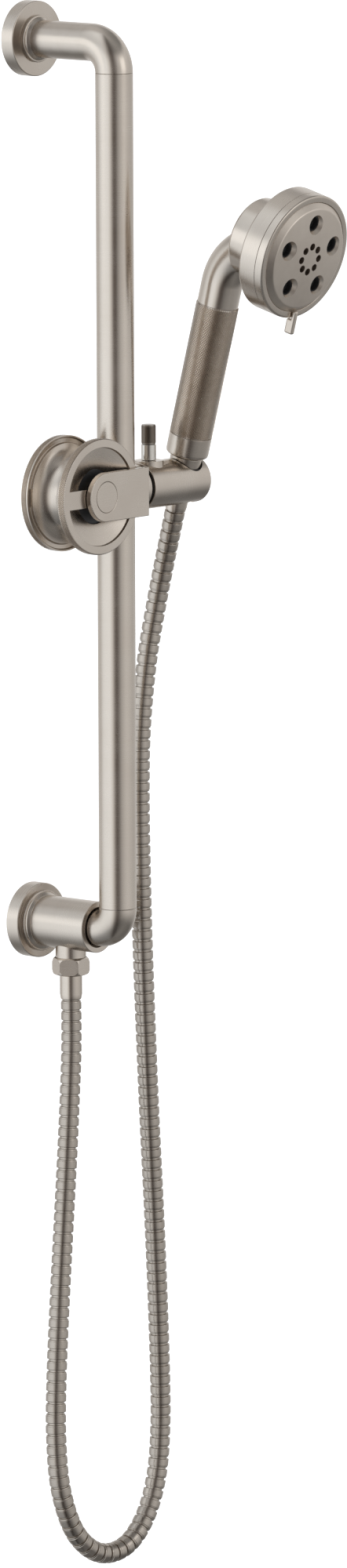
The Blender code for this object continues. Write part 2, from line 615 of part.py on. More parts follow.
HOSE_ROUTE = [(0, -36, -655.2), (-0.3, -35.9, -690), (-4, -36, -745), (-9, -36.3, -800),
              (-15, -37, -860), (-19.5, -37.6, -915), (-20.8, -38.3, -955), (-17.5, -39.3, -990),
              (-6.5, -40.8, -1019), (10.5, -42.6, -1036), (29, -44.6, -1041), (47.5, -46.6, -1035),
              (62.5, -48.4, -1017), (71.5, -49.6, -991), (74.6, -50.2, -960), (74.2, -50.6, -925),
              (71, -51.2, -865), (67, -51.7, -805), (62.5, -52.1, -745), (58.7, -52.4, -685),
              (55.6, -52.5, -625), (53.6, -52.5, -565), (53, -52.4, -515), (54.6, -52.5, -470),
              (60, -53.8, -424), (66, -57, -387)]


def spline_point(points, place):
    """A point of the Catmull-Rom curve through points, place counting in points."""
    index = min(int(place), len(points) - 2)
    part = place - index
    before = points[max(index - 1, 0)]
    here, there = points[index], points[index + 1]
    after = points[min(index + 2, len(points) - 1)]
    return 0.5 * (2 * here + (there - before) * part +
                  (2 * before - 5 * here + 4 * there - after) * part ** 2 +
                  (3 * here - before - 3 * there + after) * part ** 3)


def hose():
    """The hose as a plain tube, from the outlet's ferrule down, round, and up into the handset."""
    place = handset_place()
    route = [Vector(point) / 1000 for point in HOSE_ROUTE]
    route[0] = Vector((0, OUTLET_Y, HOSE_START_Z))
    route += [place @ Vector((0, 0, -down)) for down in (0.060, 0.040, HOSE_TOP)]
    spacing = 0.030
    samples = [spline_point(route, step / 40) for step in range(40 * (len(route) - 1) + 1)]
    picked = [samples[0]]
    travelled = 0.0
    for before, here in zip(samples, samples[1:]):
        travelled += (here - before).length
        if travelled >= spacing:
            picked.append(here)
            travelled = 0.0
    if (picked[-1] - samples[-1]).length < spacing / 2:
        picked.pop()
    picked.append(samples[-1])
    curve = bpy.data.curves.new("hose", "CURVE")
    curve.dimensions = "3D"
    curve.bevel_depth = HOSE_DIAMETER / 2
    curve.bevel_resolution = 2
    curve.use_fill_caps = True
    spline = curve.splines.new("POLY")
    spline.points.add(len(picked) - 1)
    for point, spot in zip(spline.points, picked):
        point.co = (*spot, 1.0)
    curve.materials.append(finish("hose_finish", *NICKEL))
    item = bpy.data.objects.new("hose", curve)
    bpy.context.scene.collection.objects.link(item)
    return item


def build():
    """Make every piece, then hang the moving ones on their joints."""
    wall_bracket("top", 0.0, False)
    wall_bracket("bottom", -FIXING_SPACING, True)
    flange("top", 0.0, BAR_RADIUS + GAP)
    flange("bottom", -FIXING_SPACING, 0.0093)
    base_collar("top", 0.0, BAR_RADIUS, 0.0160, 0.0146)
    base_collar("bottom", -FIXING_SPACING, 0.0093, 0.0206, 0.0192)
    arms_and_bar()
    hose_end(outlet())
    hose()

    carriage = pivot("carriage_slide", (0, -BAR_OFFSET, CARRIAGE_Z), (0, 0, 1))
    hang([yoke_plate("front", -1), yoke_plate("rear", 1), slider(), guide_bush(), *axle()], carriage)
    axle_line = pivot("wheel_turn", (WHEEL_X, -BAR_OFFSET, CARRIAGE_Z), (0, -1, 0))
    hang([wheel()], axle_line)
    barrel_line = pivot("holder_tilt", (0, -BAR_OFFSET, CARRIAGE_Z), (1, 0, 0))
    guide, plunger = lock()
    hang([*holder(), *guide], barrel_line)
    lock_line = pivot("lock_pull", (0.0340, -BAR_OFFSET, CARRIAGE_Z), (0, 0, 1))
    hang(plunger, lock_line)
    base = handset_place()
    up_the_handle = base.to_3x3() @ Vector((0, 0, 1))
    lift = pivot("handset_lift", base.translation, up_the_handle)
    casting, face = neck()
    fixed, turning = head(face)
    hang([*inlet_end(), *handle(), casting, *fixed], lift)
    dial = pivot("selector_turn", face.translation, face.to_3x3() @ Vector((0, 0, 1)))
    hang(turning, dial)


build()
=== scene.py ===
"""A wall-mounted slide-bar hand shower in satin nickel.

Sizes and places of its pieces are in millimetres and become metres where a mesh is made; camera,
floor and lamps are placed in metres. The wall is y = 0, the object stands out along -Y, +X is to the
right of someone facing the wall and +Z is up.
"""
import json
import math

import bmesh
import bpy
from mathutils import Matrix, Vector


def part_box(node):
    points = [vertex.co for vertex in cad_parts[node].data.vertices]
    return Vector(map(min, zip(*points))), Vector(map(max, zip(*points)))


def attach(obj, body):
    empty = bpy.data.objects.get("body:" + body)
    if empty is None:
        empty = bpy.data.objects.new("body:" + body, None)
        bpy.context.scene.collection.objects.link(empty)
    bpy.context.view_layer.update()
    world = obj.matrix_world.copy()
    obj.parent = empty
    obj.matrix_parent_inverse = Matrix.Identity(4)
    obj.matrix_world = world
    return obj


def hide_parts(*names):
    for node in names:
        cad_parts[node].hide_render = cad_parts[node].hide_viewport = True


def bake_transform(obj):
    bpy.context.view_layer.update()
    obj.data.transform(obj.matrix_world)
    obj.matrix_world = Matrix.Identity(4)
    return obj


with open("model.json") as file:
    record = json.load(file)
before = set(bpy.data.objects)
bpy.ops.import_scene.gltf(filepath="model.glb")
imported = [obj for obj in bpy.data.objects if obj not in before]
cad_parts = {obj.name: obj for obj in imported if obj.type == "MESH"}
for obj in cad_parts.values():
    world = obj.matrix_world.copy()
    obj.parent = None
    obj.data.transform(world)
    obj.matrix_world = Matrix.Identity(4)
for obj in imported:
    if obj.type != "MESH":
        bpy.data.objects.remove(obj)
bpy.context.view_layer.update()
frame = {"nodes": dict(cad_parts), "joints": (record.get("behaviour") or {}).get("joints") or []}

# ---- Camera, floor and light ----
# A long lens looks at the object from its left and a little above. Tall soft panels stand to both
# sides of the camera, with a narrow dark gap behind it, and a white floor lies well below the hose.

MM = 0.001
CAMERA_PLACE = (-5.993, -5.221, 0.660)
CAMERA_TURN, CAMERA_RISE, CAMERA_ROLL = -49.64, 8.367, -0.223
CAMERA_LENS = 271.05
FLOOR_LEVEL, FLOOR_HALF = -1.45, 120

lens = bpy.data.cameras.new("camera")
lens.lens = CAMERA_LENS
lens.clip_end = 100
camera = bpy.data.objects.new("camera", lens)
bpy.context.scene.collection.objects.link(camera)
camera.matrix_world = (Matrix.Translation(CAMERA_PLACE) @
                       Matrix.Rotation(math.radians(CAMERA_TURN), 4, "Z") @
                       Matrix.Rotation(math.radians(90 - CAMERA_RISE), 4, "X") @
                       Matrix.Rotation(math.radians(CAMERA_ROLL), 4, "Z"))
bpy.context.scene.camera = camera
bpy.context.scene.view_settings.view_transform = "Standard"

floor_shape = bmesh.new()
bmesh.ops.create_grid(floor_shape, x_segments=8, y_segments=8, size=FLOOR_HALF)
floor_mesh = bpy.data.meshes.new("floor")
floor_shape.to_mesh(floor_mesh)
floor_shape.free()
floor = bpy.data.objects.new("floor", floor_mesh)
bpy.context.scene.collection.objects.link(floor)
floor.location.z = FLOOR_LEVEL
floor.visible_glossy = False
floor_paint = bpy.data.materials.new("floor_paint")
floor_paint.use_nodes = True
floor_shader = floor_paint.node_tree.nodes["Principled BSDF"]
floor_shader.inputs["Base Color"].default_value = (0.9, 0.9, 0.9, 1)
floor_shader.inputs["Roughness"].default_value = 0.9
floor_shader.inputs["Emission Color"].default_value = (1, 1, 1, 1)
floor_shader.inputs["Emission Strength"].default_value = 0.75
floor_mesh.materials.append(floor_paint)

# Degrees round from the camera, to the right, and what the room sends from there
ROOM_AROUND = [(-180, (0.8, 0.8, 0.8)), (-120, (0.6, 0.6, 0.6)), (-90, (1.0, 1.05, 1.1)),
               (-40, (1.1, 1.15, 1.2)), (-25, (0.8, 0.8, 0.8)), (-10, (0.15, 0.13, 0.12)),
               (5, (0.12, 0.105, 0.1)), (30, (0.6, 0.6, 0.6)), (60, (0.8, 0.8, 0.8)),
               (90, (0.7, 0.7, 0.7)), (120, (0.6, 0.6, 0.6)), (180, (0.8, 0.8, 0.8))]
# Height of a direction, -1 straight down to 1 straight up, and how much of that light is left, to
# the camera's left and to its right
LEFT_HEIGHTS = [(-1.0, 0.2), (-0.75, 0.35), (-0.5, 0.8), (-0.25, 1.0), (0.25, 1.0), (0.5, 0.7),
                (0.75, 0.8), (1.0, 1.0)]
RIGHT_HEIGHTS = [(-1.0, 0.3), (-0.6, 0.25), (-0.4, 0.6), (-0.2, 0.9), (0.5, 1.1), (0.65, 0.35),
                 (1.0, 0.5)]
# How far to either side one list gives way to the other
SIDE_BLEND = 0.35


def room_ramp(nodes, stops, low, high):
    """A ramp through (place, colour) stops, with places from low to high."""
    ramp = nodes.new("ShaderNodeValToRGB")
    bar = ramp.color_ramp
    while len(bar.elements) < len(stops):
        bar.elements.new(0.5)
    for element, (place, colour) in zip(bar.elements, stops):
        element.position = (place - low) / (high - low)
        element.color = (*colour, 1) if isinstance(colour, tuple) else (colour, colour, colour, 1)
    return ramp


room = bpy.data.worlds.new("room")
room.use_nodes = True
bpy.context.scene.world = room
nodes, links = room.node_tree.nodes, room.node_tree.links
seen = nodes.new("ShaderNodeTexCoord")
turn = math.radians(CAMERA_TURN)
parts = []
for axis in ((math.cos(turn), math.sin(turn), 0), (math.sin(turn), -math.cos(turn), 0)):
    part = nodes.new("ShaderNodeVectorMath")
    part.operation = "DOT_PRODUCT"
    part.inputs[1].default_value = axis
    links.new(seen.outputs["Generated"], part.inputs[0])
    parts.append(part)
around = nodes.new("ShaderNodeMath")
around.operation = "ARCTAN2"
links.new(parts[0].outputs["Value"], around.inputs[0])
links.new(parts[1].outputs["Value"], around.inputs[1])
share = nodes.new("ShaderNodeMapRange")
share.inputs["From Min"].default_value = -math.pi
share.inputs["From Max"].default_value = math.pi
links.new(around.outputs[0], share.inputs["Value"])
panels = room_ramp(nodes, ROOM_AROUND, -180, 180)
links.new(share.outputs[0], panels.inputs[0])
height = nodes.new("ShaderNodeSeparateXYZ")
links.new(seen.outputs["Generated"], height.inputs[0])
lift = nodes.new("ShaderNodeMapRange")
lift.inputs["From Min"].default_value = -1
links.new(height.outputs["Z"], lift.inputs["Value"])
rightward = nodes.new("ShaderNodeMapRange")
rightward.inputs["From Min"].default_value = -SIDE_BLEND
rightward.inputs["From Max"].default_value = SIDE_BLEND
links.new(parts[0].outputs["Value"], rightward.inputs["Value"])
levels = nodes.new("ShaderNodeMix")
levels.data_type = "RGBA"
links.new(rightward.outputs[0], levels.inputs["Factor"])
for side, heights in (("A", LEFT_HEIGHTS), ("B", RIGHT_HEIGHTS)):
    ramp = room_ramp(nodes, heights, -1, 1)
    links.new(lift.outputs[0], ramp.inputs[0])
    colour = next(put for put in levels.inputs if put.name == side and put.type == "RGBA")
    links.new(ramp.outputs[0], colour)
background = nodes["Background"]
links.new(panels.outputs[0], background.inputs["Color"])
links.new(next(out for out in levels.outputs if out.type == "RGBA"), background.inputs["Strength"])


LAMP_SIZE, LAMP_DISTANCE = 1.6, 3.2
LAMP_AIM = Vector((0, 0, -0.4))


def softbox(name, around_camera, up, power):
    """A big square lamp at an angle round from the camera, facing the middle of the object."""
    lamp = bpy.data.lights.new(name, "AREA")
    lamp.size = LAMP_SIZE
    lamp.energy = power
    item = bpy.data.objects.new(name, lamp)
    bpy.context.scene.collection.objects.link(item)
    way = math.radians(CAMERA_TURN + around_camera)
    away = Vector((math.sin(way), -math.cos(way), up)).normalized()
    item.location = LAMP_AIM + LAMP_DISTANCE * away
    item.rotation_mode = "QUATERNION"
    item.rotation_quaternion = away.to_track_quat("Z", "Y")


softbox("softbox_left", -72, 0.25, 2)
softbox("softbox_right", 62, 0.35, 4)

# ---- Shower hose ----
# A metal hose wound from satin nickel-plated strip, whose turns show as wide rounded rings with a
# narrow groove between. It hangs from the outlet, loops round and climbs into the handset's nut.
# It is made in four lengths that meet in a groove.

HOSE_WIDE, HOSE_GROOVE = 14.0, 11.4
RING_PITCH = 7.3
HANDSET_RINGS, HOLDER_RINGS = 13, 15
HOSE_TOP = -653.3
# How far under the socket's middle the hose runs on the handset's axis, down to its last turn
HOSE_CLIMB = (60, 40, 21.5)
CURVE_STEPS = 60
HOSE_ROUTE = [(-0.3, -35.9, -690), (-4, -36, -745), (-9, -36.3, -800), (-15, -37, -860),
              (-19.5, -37.6, -915), (-20.8, -38.3, -955), (-17.5, -39.3, -990), (-6.5, -40.8, -1019),
              (10.5, -42.6, -1036), (29, -44.6, -1041), (47.5, -46.6, -1035), (62.5, -48.4, -1017),
              (71.5, -49.6, -991), (74.6, -50.2, -960), (74.2, -50.6, -925), (71, -51.2, -865),
              (67, -51.7, -805), (62.5, -52.1, -745), (58.7, -52.4, -685), (55.6, -52.5, -625),
              (53.6, -52.5, -565), (53, -52.4, -515), (54.6, -52.5, -470), (60, -53.8, -424),
              (66, -57, -387)]
# Along one turn, and how far the strip stands out of the groove there, from 0 to 1
RING_SHAPE = [(0.0, 0.0), (0.09, 0.0), (0.10, 0.50), (0.13, 0.70), (0.24, 0.74), (0.255, 0.94),
              (0.29, 1.0), (0.83, 1.0), (0.875, 0.93), (0.905, 0.65), (0.915, 0.0)]

NICKEL_LIGHT = (0.70, 0.632, 0.560)
NICKEL_DARK = (0.64, 0.570, 0.497)


def middle(node):
    """The middle of a CAD node's box, in millimetres."""
    low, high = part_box(node)
    return (Vector(low) + Vector(high)) / 2 / MM


def joint(name):
    """One joint of the frame."""
    return next(item for item in frame["joints"] if item["name"] == name)


BAR_AXIS = middle("slide_bar")
CARRIAGE_LEVEL = middle("yoke_plate_front").z
OUTLET_LEVEL = middle("flange_bottom").z
SOCKET_X = middle("knurled_grip").x
up_the_handle = Vector(joint("handset_lift")["axis"])
HANDSET_TILT = math.atan2(-up_the_handle.y, up_the_handle.z)
handset_place = (Matrix.Translation(Vector((SOCKET_X, BAR_AXIS.y, CARRIAGE_LEVEL)) * MM) @
                 Matrix.Rotation(HANDSET_TILT, 4, "X"))


def satin_nickel(name, grain=(60, 60, 2600), roughness=0.25, painted_brightness=1.0):
    """Brushed and plated nickel: fine polishing lines, with the colour and the gloss a little uneven."""
    material = bpy.data.materials.new(name)
    material.use_nodes = True
    nodes, links = material.node_tree.nodes, material.node_tree.links
    shader = nodes["Principled BSDF"]
    shader.inputs["Metallic"].default_value = 1.0
    place = nodes.new("ShaderNodeTexCoord")
    stretch = nodes.new("ShaderNodeMapping")
    stretch.inputs["Scale"].default_value = grain
    links.new(place.outputs["Object"], stretch.inputs["Vector"])
    lines = nodes.new("ShaderNodeTexNoise")
    lines.inputs["Scale"].default_value = 1.0
    lines.inputs["Detail"].default_value = 4.0
    links.new(stretch.outputs["Vector"], lines.inputs["Vector"])
    clouds = nodes.new("ShaderNodeTexNoise")
    clouds.inputs["Scale"].default_value = 38.0
    clouds.inputs["Detail"].default_value = 3.0
    links.new(place.outputs["Object"], clouds.inputs["Vector"])
    both = nodes.new("ShaderNodeMath")
    both.operation = "MULTIPLY_ADD"
    both.inputs[1].default_value = 0.55
    links.new(lines.outputs["Fac"], both.inputs[0])
    links.new(clouds.outputs["Fac"], both.inputs[2])
    # The last argument scales both colours: a lighter or darker copy of one nickel, painted light or shade
    tone = nodes.new("ShaderNodeValToRGB")
    tone.color_ramp.elements[0].position = 0.45
    tone.color_ramp.elements[0].color = (*(painted_brightness * part for part in NICKEL_DARK), 1)
    tone.color_ramp.elements[1].position = 1.05
    tone.color_ramp.elements[1].color = (*(painted_brightness * part for part in NICKEL_LIGHT), 1)
    links.new(both.outputs[0], tone.inputs[0])
    links.new(tone.outputs[0], shader.inputs["Base Color"])
    gloss = nodes.new("ShaderNodeMapRange")
    gloss.inputs["From Min"].default_value = 0.4
    gloss.inputs["From Max"].default_value = 1.1
    gloss.inputs["To Min"].default_value = roughness - 0.05
    gloss.inputs["To Max"].default_value = roughness + 0.06
    links.new(both.outputs[0], gloss.inputs["Value"])
    links.new(gloss.outputs[0], shader.inputs["Roughness"])
    relief = nodes.new("ShaderNodeBump")
    relief.inputs["Strength"].default_value = 0.07
    relief.inputs["Distance"].default_value = 0.00004
    links.new(lines.outputs["Fac"], relief.inputs["Height"])
    links.new(relief.outputs["Normal"], shader.inputs["Normal"])
    return material


def finished(shape, name, place, material, crease=33):
    """Turn a bmesh into an object, smooth but for its hard edges, with even shading on wide faces."""
    bmesh.ops.recalc_face_normals(shape, faces=shape.faces)
    mesh = bpy.data.meshes.new(name)
    shape.to_mesh(mesh)
    shape.free()
    mesh.shade_smooth()
    mesh.set_sharp_from_angle(angle=math.radians(crease))
    mesh.materials.append(material)
    item = bpy.data.objects.new(name, mesh)
    bpy.context.scene.collection.objects.link(item)
    item.matrix_world = place
    even = item.modifiers.new("even shading", "WEIGHTED_NORMAL")
    even.keep_sharp = True
    even.weight = 90
    return item


def through(points, part):
    """A point of the smooth curve through points; part counts in points from the first."""
    index = min(int(part), len(points) - 2)
    rest = part - index
    before, after = points[max(index - 1, 0)], points[min(index + 2, len(points) - 1)]
    here, there = points[index], points[index + 1]
    return 0.5 * (2 * here + (there - before) * rest +
                  (2 * before - 5 * here + 4 * there - after) * rest ** 2 +
                  (3 * here - before - 3 * there + after) * rest ** 3)


hose_start = Vector((0, middle("hose_ferrule_lower").y, HOSE_TOP)) * MM
knots = [hose_start] + [Vector(spot) * MM for spot in HOSE_ROUTE]
knots += [handset_place @ Vector((0, 0, -down * MM)) for down in HOSE_CLIMB]
fine_line = [through(knots, step / CURVE_STEPS) for step in range(CURVE_STEPS * (len(knots) - 1) + 1)]
travel = [0.0]
for before, here in zip(fine_line, fine_line[1:]):
    travel.append(travel[-1] + (here - before).length)
hose_length = travel[-1]
turns = round(hose_length / (RING_PITCH * MM))


def along_hose(distance):
    """The point at a distance along the hose, and the way it runs there."""
    low, high = 0, len(travel) - 1
    while high - low > 1:
        index = (low + high) // 2
        low, high = (index, high) if travel[index] <= distance else (low, index)
    part = (distance - travel[low]) / (travel[high] - travel[low])
    return fine_line[low].lerp(fine_line[high], part), (fine_line[high] - fine_line[low]).normalized()


def hose_part(name, first, last, material):
    """The hose from one turn to another, closed at both ends."""
    sides = 32
    stations = [((turn + place) / turns * hose_length, stand) for turn in range(first, last)
                for place, stand in RING_SHAPE] + [(last / turns * hose_length, 0.0)]
    shape = bmesh.new()
    rows, centres = [], []
    side = Vector((0, 1, 0))
    for distance, stand in stations:
        centre, ahead = along_hose(distance)
        side = (side - ahead * side.dot(ahead)).normalized()
        rise = ahead.cross(side)
        radius = (HOSE_GROOVE + (HOSE_WIDE - HOSE_GROOVE) * stand) / 2 * MM
        rows.append([shape.verts.new(centre + radius * (math.cos(math.tau * step / sides) * side +
                                                        math.sin(math.tau * step / sides) * rise))
                     for step in range(sides)])
        centres.append(centre)
    for here, there in zip(rows, rows[1:]):
        for step in range(sides):
            after = (step + 1) % sides
            shape.faces.new([here[step], here[after], there[after], there[step]])
    shape.faces.new(rows[0])
    shape.faces.new(rows[-1])
    return finished(shape, name, Matrix(), material, 50), centres


lowest_turn = min(range(turns + 1), key=lambda turn: along_hose(turn / turns * hose_length)[0].z)
# The hose's nickel is darkened to 0.74 of the rest: painted shade over the whole hose
hose_metal_painted_shade = satin_nickel("hose_nickel_painted_shade", (300, 300, 300), 0.26, 0.74)
hose_marks = [0, lowest_turn, turns - HOLDER_RINGS - HANDSET_RINGS, turns - HANDSET_RINGS, turns]
hose_names = ["hose_outlet_side", "hose_handset_side", "hose_swing", "hose_end"]
hose_pairs = [("root", "carriage"), ("root", "carriage"), ("carriage", "holder"), ("holder", "handset")]
for name, first, last, (lower, upper) in zip(hose_names, hose_marks, hose_marks[1:], hose_pairs):
    item, centres = hose_part(name, first, last, hose_metal_painted_shade)
    start, end = centres[0], centres[-1]
    if name == "hose_outlet_side":
        end = Vector((start.x, start.y, 2 * end.z - start.z))
    elif name == "hose_handset_side":
        start = Vector((end.x, end.y, 2 * start.z - end.z))
    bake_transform(item)
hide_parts("hose")

# ---- Wall brackets and their screws ----
# Pressed steel discs on the wall, each held by two countersunk screws. The lower one is open in
# the middle for the water pipe. The flanges hide them.


def plain(name, colour, roughness, metallic, bump=0.1, scale=900):
    """Any of the plainer materials: steel, brass, rubber or moulded plastic, with a fine skin."""
    material = bpy.data.materials.new(name)
    material.use_nodes = True
    nodes, links = material.node_tree.nodes, material.node_tree.links
    shader = nodes["Principled BSDF"]
    shader.inputs["Metallic"].default_value = metallic
    place = nodes.new("ShaderNodeTexCoord")
    skin = nodes.new("ShaderNodeTexNoise")
    skin.inputs["Scale"].default_value = scale
    skin.inputs["Detail"].default_value = 4.0
    links.new(place.outputs["Object"], skin.inputs["Vector"])
    tone = nodes.new("ShaderNodeValToRGB")
    tone.color_ramp.elements[0].color = (*(0.88 * part for part in colour), 1)
    tone.color_ramp.elements[1].color = (*(min(1.0, 1.1 * part) for part in colour), 1)
    links.new(skin.outputs["Fac"], tone.inputs[0])
    links.new(tone.outputs[0], shader.inputs["Base Color"])
    gloss = nodes.new("ShaderNodeMapRange")
    gloss.inputs["To Min"].default_value = max(roughness - 0.06, 0.02)
    gloss.inputs["To Max"].default_value = roughness + 0.06
    links.new(skin.outputs["Fac"], gloss.inputs["Value"])
    links.new(gloss.outputs[0], shader.inputs["Roughness"])
    relief = nodes.new("ShaderNodeBump")
    relief.inputs["Strength"].default_value = bump
    relief.inputs["Distance"].default_value = 0.00005
    links.new(skin.outputs["Fac"], relief.inputs["Height"])
    links.new(relief.outputs["Normal"], shader.inputs["Normal"])
    return material


def paint(node, material):
    """Give a CAD node that stays in view a better material."""
    item = frame["nodes"][node]
    if not item.material_slots:
        item.data.materials.append(material)
    for holder in item.material_slots:
        holder.material = material


steel = plain("bright_steel", (0.52, 0.52, 0.51), 0.32, 1.0)
for node in ("wall_bracket_top", "wall_bracket_bottom", "wall_screw_top_left", "wall_screw_top_right",
             "wall_screw_bottom_left", "wall_screw_bottom_right", "set_screw_top", "set_screw_bottom"):
    paint(node, steel)

# ---- Flanges and their base collars ----
# Turned brass covers in satin nickel, with a fine bright edge, hollow behind. A small set screw
# from below holds each one. Two thin steps lead from the flange up to the arm.

FLANGE_RADIUS, FLANGE_DEPTH = 25.5, 10.0
FLANGE_HOLLOW, HOLLOW_DEPTH = 22.2, 6.6
STEPS_DEPTH = 4.6
SLEEVE_RADIUS = 17.5
BAR_RADIUS, TUBE_WALL, GAP = 12.7, 1.6, 0.3
PIPE_RADIUS = 9.0


def aim(point, direction):
    """A frame at a point in millimetres whose +Z runs along direction."""
    turn = Vector(direction).to_track_quat("Z", "Y").to_matrix().to_4x4()
    return Matrix.Translation(Vector(point) * MM) @ turn


def rounded(outline, usual=0.3, steps=4):
    """Round the corners of a closed outline; a corner may carry its own rounding as a third number."""
    soft = []
    for index, corner in enumerate(outline):
        here = Vector(corner[:2])
        back = Vector(outline[index - 1][:2]) - here
        ahead = Vector(outline[(index + 1) % len(outline)][:2]) - here
        reach = min(corner[2] if len(corner) > 2 else usual, 0.46 * back.length, 0.46 * ahead.length)
        if here.x == 0 or reach == 0 or back.angle(ahead) > math.radians(158):
            soft.append(tuple(here))
            continue
        start, end = here + back.normalized() * reach, here + ahead.normalized() * reach
        for step in range(steps + 1):
            part = step / steps
            soft.append(tuple((1 - part) ** 2 * start + 2 * part * (1 - part) * here + part ** 2 * end))
    return soft


def turned_shape(outline, sides=96):
    """A bmesh of (radius, height) points turned about +Z, in millimetres."""
    shape = bmesh.new()
    rings = []
    for radius, height in outline:
        if radius == 0:
            rings.append([shape.verts.new((0, 0, height * MM))])
            continue
        rings.append([shape.verts.new((radius * MM * math.cos(math.tau * step / sides),
                                       radius * MM * math.sin(math.tau * step / sides), height * MM))
                      for step in range(sides)])
    pairs = list(zip(rings, rings[1:]))
    if outline[0][0] != 0 or outline[-1][0] != 0:
        pairs.append((rings[-1], rings[0]))
    for lower, upper in pairs:
        if len(lower) == len(upper) == 1:
            continue
        for step in range(sides):
            after = (step + 1) % sides
            corners = [lower[step % len(lower)], lower[after % len(lower)],
                       upper[after % len(upper)], upper[step % len(upper)]]
            shape.faces.new(list(dict.fromkeys(corners)))
    return shape


def turned(name, outline, place, material, sides=96, usual=0.3):
    """A turned piece with its corners rounded."""
    return finished(turned_shape(rounded(outline, usual), sides), name, place, material)


def fit(item, body, *nodes, slot="nickel"):
    """Let a piece ride a body and stand for its CAD nodes; slot is not used."""
    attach(item, body)
    if nodes:
        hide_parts(*nodes)
    return item


lathe_nickel = satin_nickel("turned_nickel")
for word, level, tube, land in (("top", 0.0, BAR_RADIUS, BAR_RADIUS),
                                ("bottom", OUTLET_LEVEL, PIPE_RADIUS, SLEEVE_RADIUS)):
    bore = tube + GAP
    off_wall = aim((0, 0, level), (0, -1, 0))
    cover = turned("flange_cover_" + word,
                   [(bore, HOLLOW_DEPTH), (FLANGE_HOLLOW, HOLLOW_DEPTH), (FLANGE_HOLLOW, 0),
                    (FLANGE_RADIUS, 0, 0.2), (FLANGE_RADIUS, FLANGE_DEPTH, 0.8), (bore, FLANGE_DEPTH)],
                   off_wall, lathe_nickel, 128)
    fit(cover, "root", "flange_" + word)
    base = aim((0, -FLANGE_DEPTH, level), (0, -1, 0))
    steps = turned("base_steps_" + word,
                   [(tube + 0.05, 0), (land + 3.3, 0), (land + 3.3, 2.0, 1.0), (land + 1.9, 2.1, 0.2),
                    (land + 1.8, 2.9, 0.5), (land + 0.4, 4.3, 0.9), (land + 0.1, STEPS_DEPTH, 0.2),
                    (tube + 0.05, STEPS_DEPTH)], base, lathe_nickel, 128)
    fit(steps, "root", "base_collar_" + word)

# ---- Arms and slide bar ----
# One-inch brass tube in satin nickel. The bar stands between two bent arms on hidden steel
# spigots, so a hairline joint shows under the upper bend and over the lower one.

TOP_BEND, BOTTOM_BEND = 19.6, 15.2
TOP_ARM_START = 7.8
SLEEVE_END, ARM_IN_SLEEVE = 60.6, 6.8
JOINT_GAP = 0.1


def swept(name, points, frames, radii, place, material, sides=96):
    """A round bar along points, with the radius and the two cross axes given at each point."""
    shape = bmesh.new()
    rows = []
    for point, (side, rise), radius in zip(points, frames, radii):
        rows.append([shape.verts.new((point + radius * (math.cos(math.tau * step / sides) * side +
                                                        math.sin(math.tau * step / sides) * rise)) * MM)
                     for step in range(sides)])
    for here, there in zip(rows, rows[1:]):
        for step in range(sides):
            after = (step + 1) % sides
            shape.faces.new([here[step], here[after], there[after], there[step]])
    shape.faces.new(rows[0])
    shape.faces.new(rows[-1])
    return finished(shape, name, place, material)


def arm(name, level, down, bend, start):
    """An arm out of the wall from start, bent round onto the bar's axis, down or up."""
    across = Vector((1, 0, 0))
    out = -BAR_AXIS.y
    points = [Vector((0, -start, level)), Vector((0, -start - 0.3, level))]
    frames = [(across, Vector((0, 0, 1)))] * 2
    count = 28
    for step in range(count + 1):
        angle = math.radians(90) * step / count
        points.append(Vector((0, -(out - bend) - bend * math.sin(angle),
                              level + down * bend * (1 - math.cos(angle)))))
        frames.append((across, Vector((0, down * math.sin(angle), math.cos(angle)))))
    points.insert(-1, points[-1] - Vector((0, 0, down * 0.25)))
    frames.insert(-1, frames[-1])
    radii = [BAR_RADIUS - 0.2] + [BAR_RADIUS] * (len(points) - 2) + [BAR_RADIUS - 0.2]
    return swept(name, points, frames, radii, Matrix(), arm_nickel)


arm_nickel = satin_nickel("drawn_nickel", (200, 200, 200), 0.24)
fit(arm("bent_arm_top", 0.0, -1, TOP_BEND, TOP_ARM_START), "root", "arm_top")
fit(arm("bent_arm_bottom", OUTLET_LEVEL, 1, BOTTOM_BEND, SLEEVE_END - ARM_IN_SLEEVE), "root", "arm_bottom")
bar_place = Matrix.Translation(Vector((BAR_AXIS.x, BAR_AXIS.y, 0)) * MM)
bar_top, bar_bottom = -TOP_BEND - JOINT_GAP, OUTLET_LEVEL + BOTTOM_BEND + JOINT_GAP
tube = turned("bar_tube", [(BAR_RADIUS - TUBE_WALL, bar_bottom), (BAR_RADIUS, bar_bottom),
                           (BAR_RADIUS, bar_top), (BAR_RADIUS - TUBE_WALL, bar_top)],
              bar_place, lathe_nickel, 128)
fit(tube, "root", "slide_bar")
for node in ("bar_spigot_top", "bar_spigot_bottom"):
    paint(node, steel)

# ---- Water outlet ----
# A turned sleeve over the lower arm with a short round port underneath, plated as the rest. The
# brass plug, the check valve and the filter sit inside it.

OUTLET_Y = middle("hose_ferrule_lower").y
SLEEVE_START, SLEEVE_FLOOR = FLANGE_DEPTH + STEPS_DEPTH, 51.6
SLEEVE_BORE, WATERWAY = 13.8, 7.2
PORT_RADIUS, PORT_START, PORT_END = 10.4, 12.5, 30.5


def cut(item, cutter, operation="DIFFERENCE"):
    """Cut item by cutter, or join it on, and drop the cutter."""
    even = item.modifiers["even shading"]
    item.modifiers.remove(even)
    step = item.modifiers.new("cut", "BOOLEAN")
    step.operation = operation
    step.object = cutter
    cutter.modifiers.clear()
    bpy.context.view_layer.update()
    result = bpy.data.meshes.new_from_object(item.evaluated_get(bpy.context.evaluated_depsgraph_get()))
    item.modifiers.clear()
    item.data = result
    result.shade_smooth()
    result.set_sharp_from_angle(angle=math.radians(33))
    bpy.data.objects.remove(cutter, do_unlink=True)
    even = item.modifiers.new("even shading", "WEIGHTED_NORMAL")
    even.keep_sharp = True
    even.weight = 90
    return item


